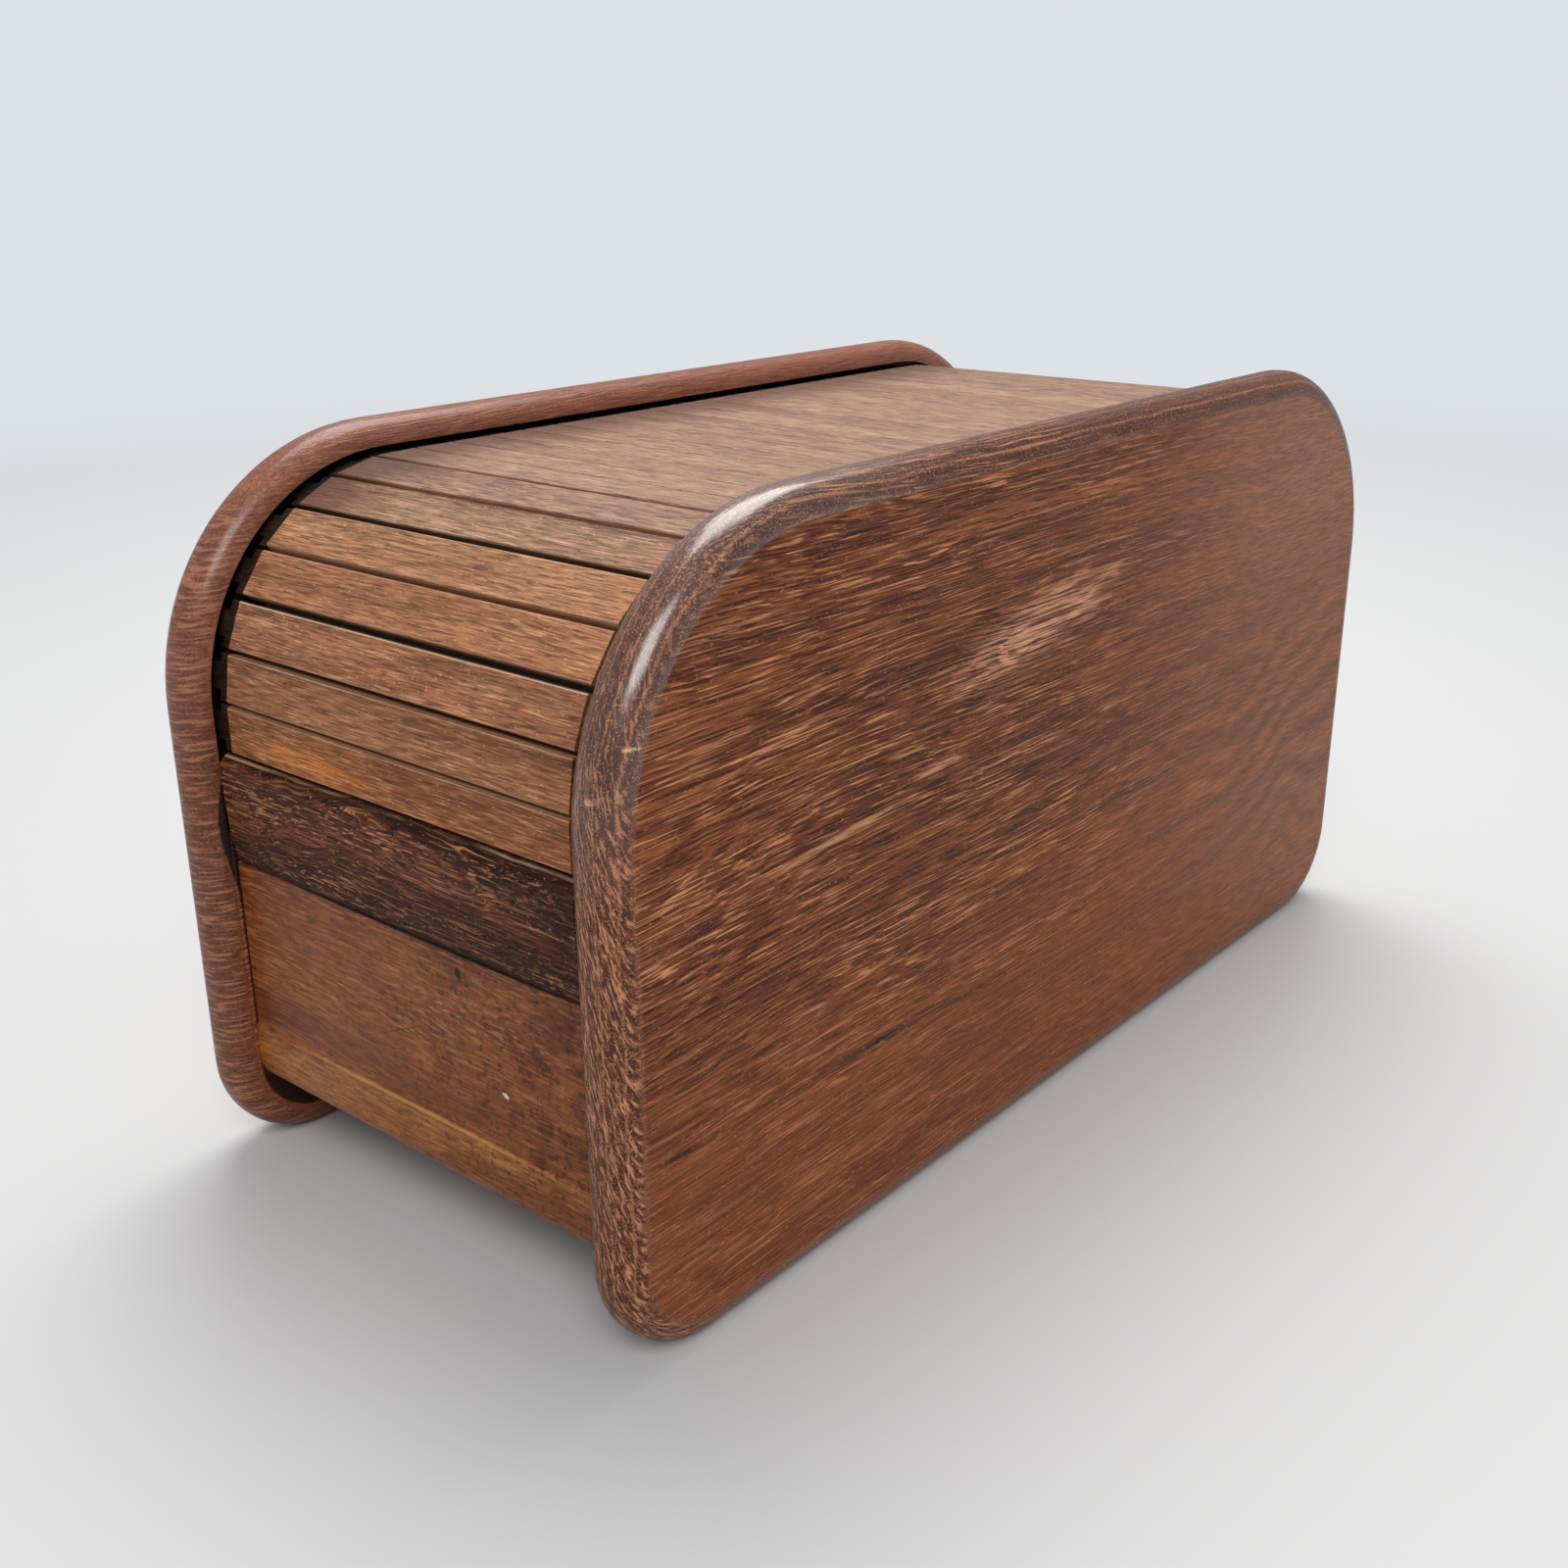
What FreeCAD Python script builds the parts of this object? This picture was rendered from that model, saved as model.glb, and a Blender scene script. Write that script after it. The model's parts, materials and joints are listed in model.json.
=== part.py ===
# Tambour lid box: a roll-top box whose slatted curtain runs in grooves of two thick side panels.
# Millimetres, +Z up. The origin is on the floor under the middle of the box and the front faces -Y.

import FreeCAD, Part
import math
import operator
import os
from types import SimpleNamespace

import Sketcher
from FreeCAD import Placement, Rotation, Vector

DIMENSIONS = [
    ("panel_height", 200.0, "side panel, floor to top"),
    ("panel_depth", 374.0, "side panel, front to back"),
    ("panel_thickness", 15.4, "side panel"),
    ("inner_width", 138.0, "between the two side panels"),
    ("top_radius", 68.0, "upper corners of a panel's outline"),
    ("base_radius", 28.0, "lower corners of a panel's outline"),
    ("outer_edge_round", 7.4, "rounding of the panel's outer edges"),
    ("inner_edge_round", 6.8, "rounding of the panel's inner edges"),
    ("curtain_inset", 13.0, "slats' inner faces below the panel's edge, at front and top"),
    ("rear_inset", 19.0, "slats' inner faces ahead of the panel's rear edge"),
    ("rear_bend_radius", 50.0, "slats' inner faces round the upper rear bend"),
    ("low_bend_radius", 21.0, "slats' inner faces round the lower rear bend"),
    ("store_level", 33.0, "slats' inner faces above the floor, under the inner floor"),
    ("groove_depth", 6.0, "curtain groove, into the panel"),
    ("groove_width", 6.5, "curtain groove, wall to wall"),
    ("groove_lap", 0.5, "groove's inner wall inside the line of the slats' inner faces"),
    ("groove_end_round", 3.0, "corners of the groove's two ends"),
    ("groove_foot", 97.0, "front end of the groove above the floor"),
    ("groove_tail", 150.0, "rear end of the groove behind the front edge, under the inner floor"),
    ("slat_pitch", 13.0, "slat to slat"),
    ("slat_gap", 0.3, "open joint between two slats"),
    ("slat_thickness", 5.0, "slat"),
    ("slat_bevel", 0.4, "bevel along both edges of a slat's outer face"),
    ("slat_margin", 5.1, "slat's full thickness ends this far from the panel"),
    ("shoulder_margin", 1.1, "slat's rebated end to the panel"),
    ("worn_joint", 0.4, "extra opening of the one joint that has stretched"),
    ("tongue_thickness", 2.6, "tongue that runs in the groove"),
    ("tongue_step", 0.8, "rebated end and tongue below the slat's face"),
    ("tongue_width", 7.0, "tongue of a slat, along the travel"),
    ("tongue_reach", 5.2, "tongue into the groove"),
    ("handle_bottom", 90.8, "handle bar, lower side above the floor"),
    ("handle_top", 121.2, "handle bar, upper side above the floor"),
    ("handle_margin", 1.8, "handle's end to the panel"),
    ("handle_brow", 7.9, "handle's thickness at the top"),
    ("handle_waist", 6.9, "handle's thickness where the cove starts"),
    ("handle_toe", 5.4, "handle's thickness at the bottom"),
    ("handle_waist_height", 8.0, "start of the cove above the handle's lower side"),
    ("handle_brow_round", 4.0, "rounded upper front edge of the handle"),
    ("handle_cove_round", 40.0, "hollow of the handle's lower face"),
    ("handle_tongue_width", 6.0, "tongue of the handle, along the travel"),
    ("handle_end_chamfer", 0.8, "eased ends of the handle"),
    ("board_face", 8.8, "front board's face behind the panel's front edge"),
    ("board_thickness", 8.7, "front board"),
    ("board_top", 89.8, "front board's upper edge above the floor"),
    ("board_edge_round", 1.0, "eased upper front edge of the front board"),
    ("rail_face", 8.2, "front rail's face behind the panel's front edge"),
    ("rail_thickness", 18.4, "front rail, front to back"),
    ("rail_bottom", 21.5, "front rail's underside above the floor"),
    ("rail_top", 41.0, "front rail's top above the floor"),
    ("rail_nose_round", 9.0, "rounded lower front edge of the rail"),
    ("rail_lip_round", 1.0, "eased upper front edge of the rail"),
    ("rail_rebate", 6.0, "rebate under the rail that takes the bottom board"),
    ("housing_depth", 3.0, "housings that take the thin boards"),
    ("thin_board", 4.0, "bottom board, inner floor and inner back"),
    ("inner_floor_level", 35.5, "underside of the inner floor above the floor"),
    ("inner_back_face", 337.0, "inner back's front face behind the panel's front edge"),
    ("inner_back_top", 140.0, "inner back's upper edge above the floor"),
    ("back_thickness", 4.5, "back board"),
    ("back_inset", 6.9, "back board's rear face ahead of the panel's rear edge"),
    ("back_top", 129.0, "back board's upper edge above the floor"),
    ("dowel_diameter", 5.0, "dowels"),
    ("dowel_play", 0.1, "hole wider than its dowel, and deeper at each end"),
    ("dowel_hole_depth", 8.0, "dowel holes"),
    ("board_dowel_rise", 11.0, "dowels in the front board from its upper and lower edges"),
    ("rail_dowel_spacing", 7.0, "between the two dowels at each end of the rail"),
    ("canvas_thickness", 0.5, "canvas glued behind the slats"),
    ("canvas_width", 120.0, "canvas, side to side"),
    ("glue_line", 0.02, "between slats and canvas"),
    ("canvas_hem", 2.0, "canvas ends above the handle's lower side"),
]
SLAT_COUNT = 33
WORN_JOINT_AFTER = 3
OPERATORS = {"+": operator.add, "-": operator.sub, "*": operator.mul, "/": operator.truediv}

doc = FreeCAD.newDocument("tambour_lid_box")
pieces = []


# A length together with the sheet expression that gives it, so that sums stay bound to the sheet.
class Dim:
    def __init__(self, value, text=None):
        self.value = value
        self.text = text or repr(value)

    def __add__(self, other):
        return combine(self, "+", other)

    def __sub__(self, other):
        return combine(self, "-", other)

    def __rsub__(self, other):
        return combine(other, "-", self)

    def __mul__(self, other):
        return combine(self, "*", other)

    def __truediv__(self, other):
        return combine(self, "/", other)

    def __neg__(self):
        return combine(0.0, "-", self)


def combine(left, sign, right):
    a = left if isinstance(left, Dim) else Dim(left)
    b = right if isinstance(right, Dim) else Dim(right)
    return Dim(OPERATORS[sign](a.value, b.value), f"({a.text} {sign} {b.text})")


def dimensionSheet():
    sheet = doc.addObject("Spreadsheet::Sheet", "sizes")
    for row, (alias, value, meaning) in enumerate(DIMENSIONS, start=1):
        sheet.set(f"A{row}", alias)
        sheet.set(f"B{row}", str(value))
        sheet.setAlias(f"B{row}", alias)
        sheet.set(f"C{row}", meaning)
    doc.recompute()
    named = {alias: Dim(float(sheet.get(alias)), f"sizes.{alias}") for alias, _, _ in DIMENSIONS}
    return SimpleNamespace(**named)


size = dimensionSheet()
HALF_DEPTH = size.panel_depth / 2
HALF_WIDTH = size.inner_width / 2


def behindFront(distance):
    return distance - HALF_DEPTH


# Sketches


def newBody(label):
    body = doc.addObject("PartDesign::Body", label)
    body.Label = label
    pieces.append(body)
    return body


# A sketch across the box: its x runs to the rear, its y runs up and its plane stands at `level` along X.
def sideSketch(body, name, level=None):
    sketch = body.newObject("Sketcher::SketchObject", name)
    plane = next(f for f in body.Origin.OriginFeatures if f.Role == "YZ_Plane")
    sketch.AttachmentSupport = [(plane, "")]
    sketch.MapMode = "FlatFace"
    if level is not None:
        sketch.setExpression("AttachmentOffset.Base.z", level.text)
    return sketch


def bindPoint(sketch, geometry, vertex, across, up):
    for kind, length in (("DistanceX", across), ("DistanceY", up)):
        index = sketch.addConstraint(Sketcher.Constraint(kind, -1, 1, geometry, vertex, length.value))
        sketch.setExpression(f"Constraints[{index}]", length.text)


def bindRadius(sketch, geometry, radius):
    index = sketch.addConstraint(Sketcher.Constraint("Radius", geometry, radius.value))
    sketch.setExpression(f"Constraints[{index}]", radius.text)


def asCorner(across, up, radius=None):
    lengths = [d if isinstance(d, Dim) or d is None else Dim(float(d)) for d in (across, up, radius)]
    return SimpleNamespace(across=lengths[0], up=lengths[1], radius=lengths[2])


# The arc that rounds a corner between its two neighbours, drawn anticlockwise as sketches keep it.
def roundCorner(before, corner, after):
    toBefore = (before - corner.point).normalize()
    toAfter = (after - corner.point).normalize()
    half = toBefore.getAngle(toAfter) / 2
    run = corner.radius.value / math.tan(half)
    corner.entry = corner.point + toBefore * run
    corner.exit = corner.point + toAfter * run
    centre = corner.point + (toBefore + toAfter).normalize() * (corner.radius.value / math.sin(half))
    corner.turnsLeft = toAfter.cross(toBefore).z > 0
    ends = (corner.entry, corner.exit) if corner.turnsLeft else (corner.exit, corner.entry)
    angles = [math.atan2(end.y - centre.y, end.x - centre.x) for end in ends]
    corner.arc = Part.ArcOfCircle(Part.Circle(centre, Vector(0, 0, 1), corner.radius.value), *angles)


# A closed outline through its corners, each bound to the sheet and rounded if it has a radius.
def outline(sketch, corners):
    corners = [asCorner(*corner) for corner in corners]
    for corner in corners:
        corner.point = Vector(corner.across.value, corner.up.value, 0)
        corner.entry = corner.exit = corner.point
    for index, corner in enumerate(corners):
        if corner.radius:
            before = corners[index - 1].point
            after = corners[(index + 1) % len(corners)].point
            roundCorner(before, corner, after)
    for index, corner in enumerate(corners):
        following = corners[(index + 1) % len(corners)]
        corner.side = sketch.addGeometry(Part.LineSegment(corner.exit, following.entry))
    for index, corner in enumerate(corners):
        arriving = corners[index - 1].side
        if corner.radius:
            roundOff(sketch, corner, arriving)
        else:
            sketch.addConstraint(Sketcher.Constraint("Coincident", arriving, 2, corner.side, 1))
            bindPoint(sketch, corner.side, 1, corner.across, corner.up)


def roundOff(sketch, corner, arriving):
    arc = sketch.addGeometry(corner.arc)
    entryVertex, exitVertex = (1, 2) if corner.turnsLeft else (2, 1)
    sketch.addConstraint(Sketcher.Constraint("Tangent", arriving, 2, arc, entryVertex))
    sketch.addConstraint(Sketcher.Constraint("Tangent", arc, exitVertex, corner.side, 1))
    bindRadius(sketch, arc, corner.radius)
    tip = sketch.addGeometry(Part.Point(corner.point), True)
    sketch.addConstraint(Sketcher.Constraint("PointOnObject", tip, 1, arriving))
    sketch.addConstraint(Sketcher.Constraint("PointOnObject", tip, 1, corner.side))
    bindPoint(sketch, tip, 1, corner.across, corner.up)


def rectangle(sketch, front, bottom, rear, top):
    outline(sketch, [(front, bottom), (rear, bottom), (rear, top), (front, top)])


# Features


def pad(body, sketch, length, reverse=False, symmetric=False):
    feature = body.newObject("PartDesign::Pad", sketch.Name + "_pad")
    feature.Profile = sketch
    feature.Reversed = reverse
    if symmetric:
        feature.SideType = "Symmetric"
    feature.setExpression("Length", length.text)
    doc.recompute()
    return feature


# Cuts a pocket along +X or -X and makes sure that it has taken wood away.
def pocket(body, sketch, depth, towardPlusX):
    before = body.Shape.Volume
    feature = body.newObject("PartDesign::Pocket", sketch.Name + "_pocket")
    feature.Profile = sketch
    feature.Reversed = towardPlusX
    feature.setExpression("Length", depth.text)
    doc.recompute()
    if body.Shape.Volume > before - 1e-3:
        raise RuntimeError(f"{feature.Name} cuts nothing")
    return feature


# A Fillet or a Chamfer on those edges of a feature that belong to it.
def dressEdges(body, kind, feature, amount, belongs):
    names = [f"Edge{n}" for n, edge in enumerate(feature.Shape.Edges, start=1) if belongs(edge)]
    dressed = body.newObject(f"PartDesign::{kind}", f"{body.Name}_{kind.lower()}_{len(body.Group)}")
    dressed.Base = (feature, names)
    dressed.setExpression("Radius" if kind == "Fillet" else "Size", amount.text)
    doc.recompute()
    return dressed


def liesAt(axis, *levels):
    def belongs(edge):
        low, high = (getattr(edge.BoundBox, axis + end) for end in ("Min", "Max"))
        return any(abs(low - level.value) < 1e-4 and abs(high - level.value) < 1e-4 for level in levels)

    return belongs


def drill(body, level, centres, towardPlusX):
    sketch = sideSketch(body, f"{body.Name}_holes_{len(body.Group)}", level)
    radius = (size.dowel_diameter + size.dowel_play) / 2
    for across, up in centres:
        place = Vector(across.value, up.value, 0)
        circle = sketch.addGeometry(Part.Circle(place, Vector(0, 0, 1), radius.value))
        bindRadius(sketch, circle, radius)
        bindPoint(sketch, circle, 3, across, up)
    return pocket(body, sketch, size.dowel_hole_depth, towardPlusX)


# The curtain's track: a line up the front, over the top, down the back and forward under the floor.
# It is the line of the slats' inner faces, and distance along it starts where the front bend starts.


def curtainTrack():
    front = size.curtain_inset
    top = size.panel_height - size.curtain_inset
    rear = size.panel_depth - size.rear_inset
    frontRadius = size.top_radius - size.curtain_inset
    return SimpleNamespace(
        front=front,
        top=top,
        rear=rear,
        frontRadius=frontRadius,
        frontCentre=(front + frontRadius, top - frontRadius),
        rearCentre=(rear - size.rear_bend_radius, top - size.rear_bend_radius),
    )


track = curtainTrack()


# Place and heading on the track: y behind the front edge, z and the angle turned from straight up.
def trackPoint(distance):
    r = track.frontRadius.value
    cy, cz = (length.value for length in track.frontCentre)
    if distance <= 0:
        return track.front.value, cz + distance, 0.0
    quarter = math.pi / 2
    if distance <= quarter * r:
        turned = distance / r
        return cy - r * math.cos(turned), cz + r * math.sin(turned), turned
    distance -= quarter * r
    ry, rz = (length.value for length in track.rearCentre)
    if distance <= ry - cy:
        return cy + distance, track.top.value, quarter
    distance -= ry - cy
    r = size.rear_bend_radius.value
    if distance <= quarter * r:
        turned = distance / r
        return ry + r * math.sin(turned), rz + r * math.cos(turned), quarter + turned
    return track.rear.value, rz - (distance - quarter * r), math.pi


# A stiff piece of the curtain whose inner face is a chord of the track.
def chordPlacement(distance, width):
    y0, z0, _ = trackPoint(distance - width / 2)
    y1, z1, _ = trackPoint(distance + width / 2)
    heading = math.degrees(math.atan2(y1 - y0, z1 - z0))
    centre = Vector(0, behindFront((y0 + y1) / 2).value, (z0 + z1) / 2)
    return Placement(centre, Rotation(Vector(1, 0, 0), -heading))


# Side panels


def panelOutline(sketch):
    front, rear = -HALF_DEPTH, HALF_DEPTH
    outline(
        sketch,
        [
            (front, 0.0, size.base_radius),
            (rear, 0.0, size.base_radius),
            (rear, size.panel_height, size.top_radius),
            (front, size.panel_height, size.top_radius),
        ],
    )


def grooveOutline(sketch):
    lap = size.groove_lap
    out = size.groove_width - size.groove_lap
    low = size.store_level
    foot, tail = size.groove_foot, behindFront(size.groove_tail)
    outerFront, innerFront = behindFront(track.front - out), behindFront(track.front + lap)
    outerRear, innerRear = behindFront(track.rear + out), behindFront(track.rear - lap)
    outline(
        sketch,
        [
            (outerFront, foot, size.groove_end_round),
            (outerFront, track.top + out, track.frontRadius + out),
            (outerRear, track.top + out, size.rear_bend_radius + out),
            (outerRear, low - out, size.low_bend_radius + out),
            (tail, low - out, size.groove_end_round),
            (tail, low + lap, size.groove_end_round),
            (innerRear, low + lap, size.low_bend_radius - lap),
            (innerRear, track.top - lap, size.rear_bend_radius - lap),
            (innerFront, track.top - lap, track.frontRadius - lap),
            (innerFront, foot, size.groove_end_round),
        ],
    )


# Sections of the boards that are let into the panels: front, bottom, rear and top of each.
def housedBoards():
    thin = size.thin_board
    railRear = size.rail_face + size.rail_thickness
    floorTop = size.inner_floor_level + thin
    backFace = size.panel_depth - size.back_inset
    return {
        "bottom_board": (railRear - size.rail_rebate, size.rail_bottom, backFace, size.rail_bottom + thin),
        "inner_floor": (
            railRear - size.housing_depth,
            size.inner_floor_level,
            size.inner_back_face + thin,
            floorTop,
        ),
        "inner_back": (
            size.inner_back_face,
            floorTop,
            size.inner_back_face + thin,
            size.inner_back_top,
        ),
        "back_board": (
            backFace - size.back_thickness,
            size.rail_bottom + thin,
            backFace,
            size.back_top,
        ),
    }


def boardDowelCentres():
    across = behindFront(size.board_face + size.board_thickness / 2)
    return [(across, size.rail_top + size.board_dowel_rise), (across, size.board_top - size.board_dowel_rise)]


def railDowelCentres():
    middle = behindFront(size.rail_face + size.rail_thickness / 2)
    up = size.rail_bottom + (size.rail_top - size.rail_bottom) / 2
    return [(middle - size.rail_dowel_spacing / 2, up), (middle + size.rail_dowel_spacing / 2, up)]


def sidePanel(label, side):
    body = newBody(label)
    innerFace = HALF_WIDTH * side
    outerFace = (HALF_WIDTH + size.panel_thickness) * side
    onTheRight = side > 0
    sketch = sideSketch(body, label + "_outline", innerFace)
    panelOutline(sketch)
    blank = pad(body, sketch, size.panel_thickness, reverse=not onTheRight)
    outside = dressEdges(body, "Fillet", blank, size.outer_edge_round, liesAt("X", outerFace))
    dressEdges(body, "Fillet", outside, size.inner_edge_round, liesAt("X", innerFace))
    sketch = sideSketch(body, label + "_groove", innerFace)
    grooveOutline(sketch)
    pocket(body, sketch, size.groove_depth, onTheRight)
    for board, section in housedBoards().items():
        sketch = sideSketch(body, f"{label}_{board}_housing", innerFace)
        front, bottom, rear, top = section
        rectangle(sketch, behindFront(front), bottom, behindFront(rear), top)
        pocket(body, sketch, size.housing_depth, onTheRight)
    drill(body, innerFace, boardDowelCentres() + railDowelCentres(), onTheRight)


# Boards


def housedBoard(label, section):
    front, bottom, rear, top = section
    board = doc.addObject("Part::Box", label)
    board.Label = label
    pieces.append(board)
    board.setExpression("Length", (size.inner_width + size.housing_depth * 2).text)
    board.setExpression("Width", (rear - front).text)
    board.setExpression("Height", (top - bottom).text)
    board.setExpression("Placement.Base.x", (-HALF_WIDTH - size.housing_depth).text)
    board.setExpression("Placement.Base.y", behindFront(front).text)
    board.setExpression("Placement.Base.z", bottom.text)


def doweledBoard(label, corners, centres):
    body = newBody(label)
    sketch = sideSketch(body, label + "_section")
    outline(sketch, [(behindFront(across), up, *radius) for across, up, *radius in corners])
    pad(body, sketch, size.inner_width, symmetric=True)
    drill(body, HALF_WIDTH, centres, False)
    drill(body, -HALF_WIDTH, centres, True)


def frontBoard():
    front, rear = size.board_face, size.board_face + size.board_thickness
    corners = [
        (front, size.rail_top),
        (rear, size.rail_top),
        (rear, size.board_top),
        (front, size.board_top, size.board_edge_round),
    ]
    doweledBoard("front_board", corners, boardDowelCentres())


# The rail carries the bottom board in a rebate underneath and the inner floor in a groove behind.
def frontRail():
    front, rear = size.rail_face, size.rail_face + size.rail_thickness
    rebate = rear - size.rail_rebate
    shelf = rear - size.housing_depth
    thin = size.thin_board
    corners = [
        (front, size.rail_bottom, size.rail_nose_round),
        (rebate, size.rail_bottom),
        (rebate, size.rail_bottom + thin),
        (rear, size.rail_bottom + thin),
        (rear, size.inner_floor_level),
        (shelf, size.inner_floor_level),
        (shelf, size.inner_floor_level + thin),
        (rear, size.inner_floor_level + thin),
        (rear, size.rail_top),
        (front, size.rail_top, size.rail_lip_round),
    ]
    doweledBoard("front_rail", corners, railDowelCentres())


def dowelGroup(label, centres):
    length = (size.dowel_hole_depth - size.dowel_play) * 2
    dowels = []
    for side in (-1, 1):
        for number, (across, up) in enumerate(centres, start=1):
            end = "left" if side < 0 else "right"
            dowel = doc.addObject("Part::Cylinder", f"{label}_{end}_{number}")
            dowel.setExpression("Radius", (size.dowel_diameter / 2).text)
            dowel.setExpression("Height", length.text)
            dowel.Placement.Rotation = Rotation(Vector(0, 1, 0), 90)
            dowel.setExpression("Placement.Base.x", (HALF_WIDTH * side - length / 2).text)
            dowel.setExpression("Placement.Base.y", across.text)
            dowel.setExpression("Placement.Base.z", up.text)
            dowels.append(dowel)
    group = doc.addObject("Part::Compound", label)
    group.Label = label
    group.Links = dowels
    pieces.append(group)


# The curtain


# A tongue right through the piece, standing out at both ends to run in the grooves.
def addTongue(body, width):
    sketch = sideSketch(body, body.Name + "_tongue")
    outer = size.tongue_step - size.slat_thickness
    rectangle(sketch, outer, -width / 2, outer + size.tongue_thickness, width / 2)
    pad(body, sketch, size.inner_width + size.tongue_reach * 2, symmetric=True)


# Full thickness in the middle, rebated ends of the same width, and narrower tongues beyond them.
def slat(number, distance):
    body = newBody(f"slat_{number:02d}")
    width = size.slat_pitch - size.slat_gap
    sketch = sideSketch(body, body.Name + "_section")
    face, bevel = -size.slat_thickness, size.slat_bevel
    outline(
        sketch,
        [
            (face, bevel - width / 2),
            (face + bevel, -width / 2),
            (0.0, -width / 2),
            (0.0, width / 2),
            (face + bevel, width / 2),
            (face, width / 2 - bevel),
        ],
    )
    pad(body, sketch, size.inner_width - size.slat_margin * 2, symmetric=True)
    sketch = sideSketch(body, body.Name + "_shoulder")
    rectangle(sketch, size.tongue_step - size.slat_thickness, -width / 2, 0.0, width / 2)
    pad(body, sketch, size.inner_width - size.shoulder_margin * 2, symmetric=True)
    addTongue(body, size.tongue_width)
    body.Placement = chordPlacement(distance, width.value)


def handleBar():
    body = newBody("handle_bar")
    half = (size.handle_top - size.handle_bottom) / 2
    sketch = sideSketch(body, body.Name + "_section")
    outline(
        sketch,
        [
            (0.0, -half),
            (0.0, half),
            (-size.handle_brow, half, size.handle_brow_round),
            (-size.handle_waist, size.handle_waist_height - half, size.handle_cove_round),
            (-size.handle_toe, -half),
        ],
    )
    bar = pad(body, sketch, size.inner_width - size.handle_margin * 2, symmetric=True)
    end = HALF_WIDTH - size.handle_margin
    dressEdges(body, "Chamfer", bar, size.handle_end_chamfer, liesAt("X", -end, end))
    addTongue(body, size.handle_tongue_width)
    middle = size.handle_bottom + half
    body.Placement = Placement(Vector(0, behindFront(size.curtain_inset).value, middle.value), Rotation())


# Middle of every slat along the track, with the one stretched joint.
def slatDistances():
    pitch = size.slat_pitch.value
    first = size.handle_top.value - track.frontCentre[1].value + (pitch + size.slat_gap.value) / 2
    stretch = size.worn_joint.value
    return [first + pitch * n + (stretch if n >= WORN_JOINT_AFTER else 0.0) for n in range(SLAT_COUNT)]


# The canvas follows the inner faces of the handle and of every slat.
def canvasBacking():
    half = (size.slat_pitch - size.slat_gap).value / 2
    middle = behindFront(size.curtain_inset).value
    ends = [
        (Vector(0, middle, size.handle_bottom.value + size.canvas_hem.value), Vector(0, 1, 0)),
        (Vector(0, middle, size.handle_top.value), Vector(0, 1, 0)),
    ]
    for distance in slatDistances():
        placement = chordPlacement(distance, half * 2)
        inward = placement.Rotation.multVec(Vector(0, 1, 0))
        ends += [(placement.multVec(Vector(0, 0, z)), inward) for z in (-half, half)]
    near = size.glue_line.value
    far = near + size.canvas_thickness.value
    ring = [point + inward * near for point, inward in ends]
    ring += [point + inward * far for point, inward in reversed(ends)]
    section = Part.Face(Part.makePolygon(ring + ring[:1]))
    across = size.canvas_width.value
    section.translate(Vector(-across / 2, 0, 0))
    canvas = doc.addObject("Part::Feature", "canvas_backing")
    canvas.Label = "canvas_backing"
    canvas.Shape = section.extrude(Vector(across, 0, 0))
    canvas.Placement = Placement()
    pieces.append(canvas)


def checkAndWrite():
    doc.recompute()
    for item in doc.Objects:
        if "Invalid" in item.State or "Error" in item.State:
            raise RuntimeError(f"{item.Name} failed: {item.State}")
    os.makedirs("parts", exist_ok=True)
    for piece in pieces:
        if piece.Shape.isNull() or not piece.Shape.isValid() or not piece.Shape.Solids:
            raise RuntimeError(f"{piece.Label} has no sound shape")
    for piece in pieces:
        piece.Shape.exportStep(f"parts/{piece.Label}.step")
        print(f"{piece.Label}: {len(piece.Shape.Solids)} solid, {piece.Shape.Volume / 1000:.2f} cm3")


sidePanel("side_panel_left", -1)
sidePanel("side_panel_right", 1)
frontBoard()
frontRail()
for boardName, boardSection in housedBoards().items():
    housedBoard(boardName, boardSection)
dowelGroup("front_board_dowels", boardDowelCentres())
dowelGroup("front_rail_dowels", railDowelCentres())
handleBar()
for slatNumber, slatDistance in enumerate(slatDistances(), start=1):
    slat(slatNumber, slatDistance)
canvasBacking()
checkAndWrite()
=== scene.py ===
import json
import math
import random

import bmesh
import bpy
from mathutils import Matrix, Vector


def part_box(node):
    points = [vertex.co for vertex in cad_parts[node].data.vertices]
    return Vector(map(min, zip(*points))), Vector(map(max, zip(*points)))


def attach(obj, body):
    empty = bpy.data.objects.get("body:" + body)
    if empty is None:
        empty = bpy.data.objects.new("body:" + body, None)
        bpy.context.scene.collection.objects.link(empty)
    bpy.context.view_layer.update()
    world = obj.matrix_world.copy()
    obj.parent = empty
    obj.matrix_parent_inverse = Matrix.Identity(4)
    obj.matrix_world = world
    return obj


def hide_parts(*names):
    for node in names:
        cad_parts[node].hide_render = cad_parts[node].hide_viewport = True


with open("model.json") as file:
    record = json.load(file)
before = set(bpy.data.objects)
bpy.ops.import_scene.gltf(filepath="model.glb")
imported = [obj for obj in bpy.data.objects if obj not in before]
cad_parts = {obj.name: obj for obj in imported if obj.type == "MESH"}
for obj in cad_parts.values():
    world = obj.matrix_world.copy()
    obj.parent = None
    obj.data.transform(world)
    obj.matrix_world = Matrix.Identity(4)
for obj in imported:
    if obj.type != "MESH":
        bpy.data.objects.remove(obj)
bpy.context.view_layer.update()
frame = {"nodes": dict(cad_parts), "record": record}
print("frame loaded:", len(frame["nodes"]), "nodes")

camera = {
    "place": (0.32288, -0.41374, 0.27018),
    "looks": (-0.6059, 0.7161, -0.3465),
    "up": (-0.2171, 0.2702, 0.9380),
    "lens": 40.0,
    "sensor": 36.0,
    "nearest": 0.01,
}

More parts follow.
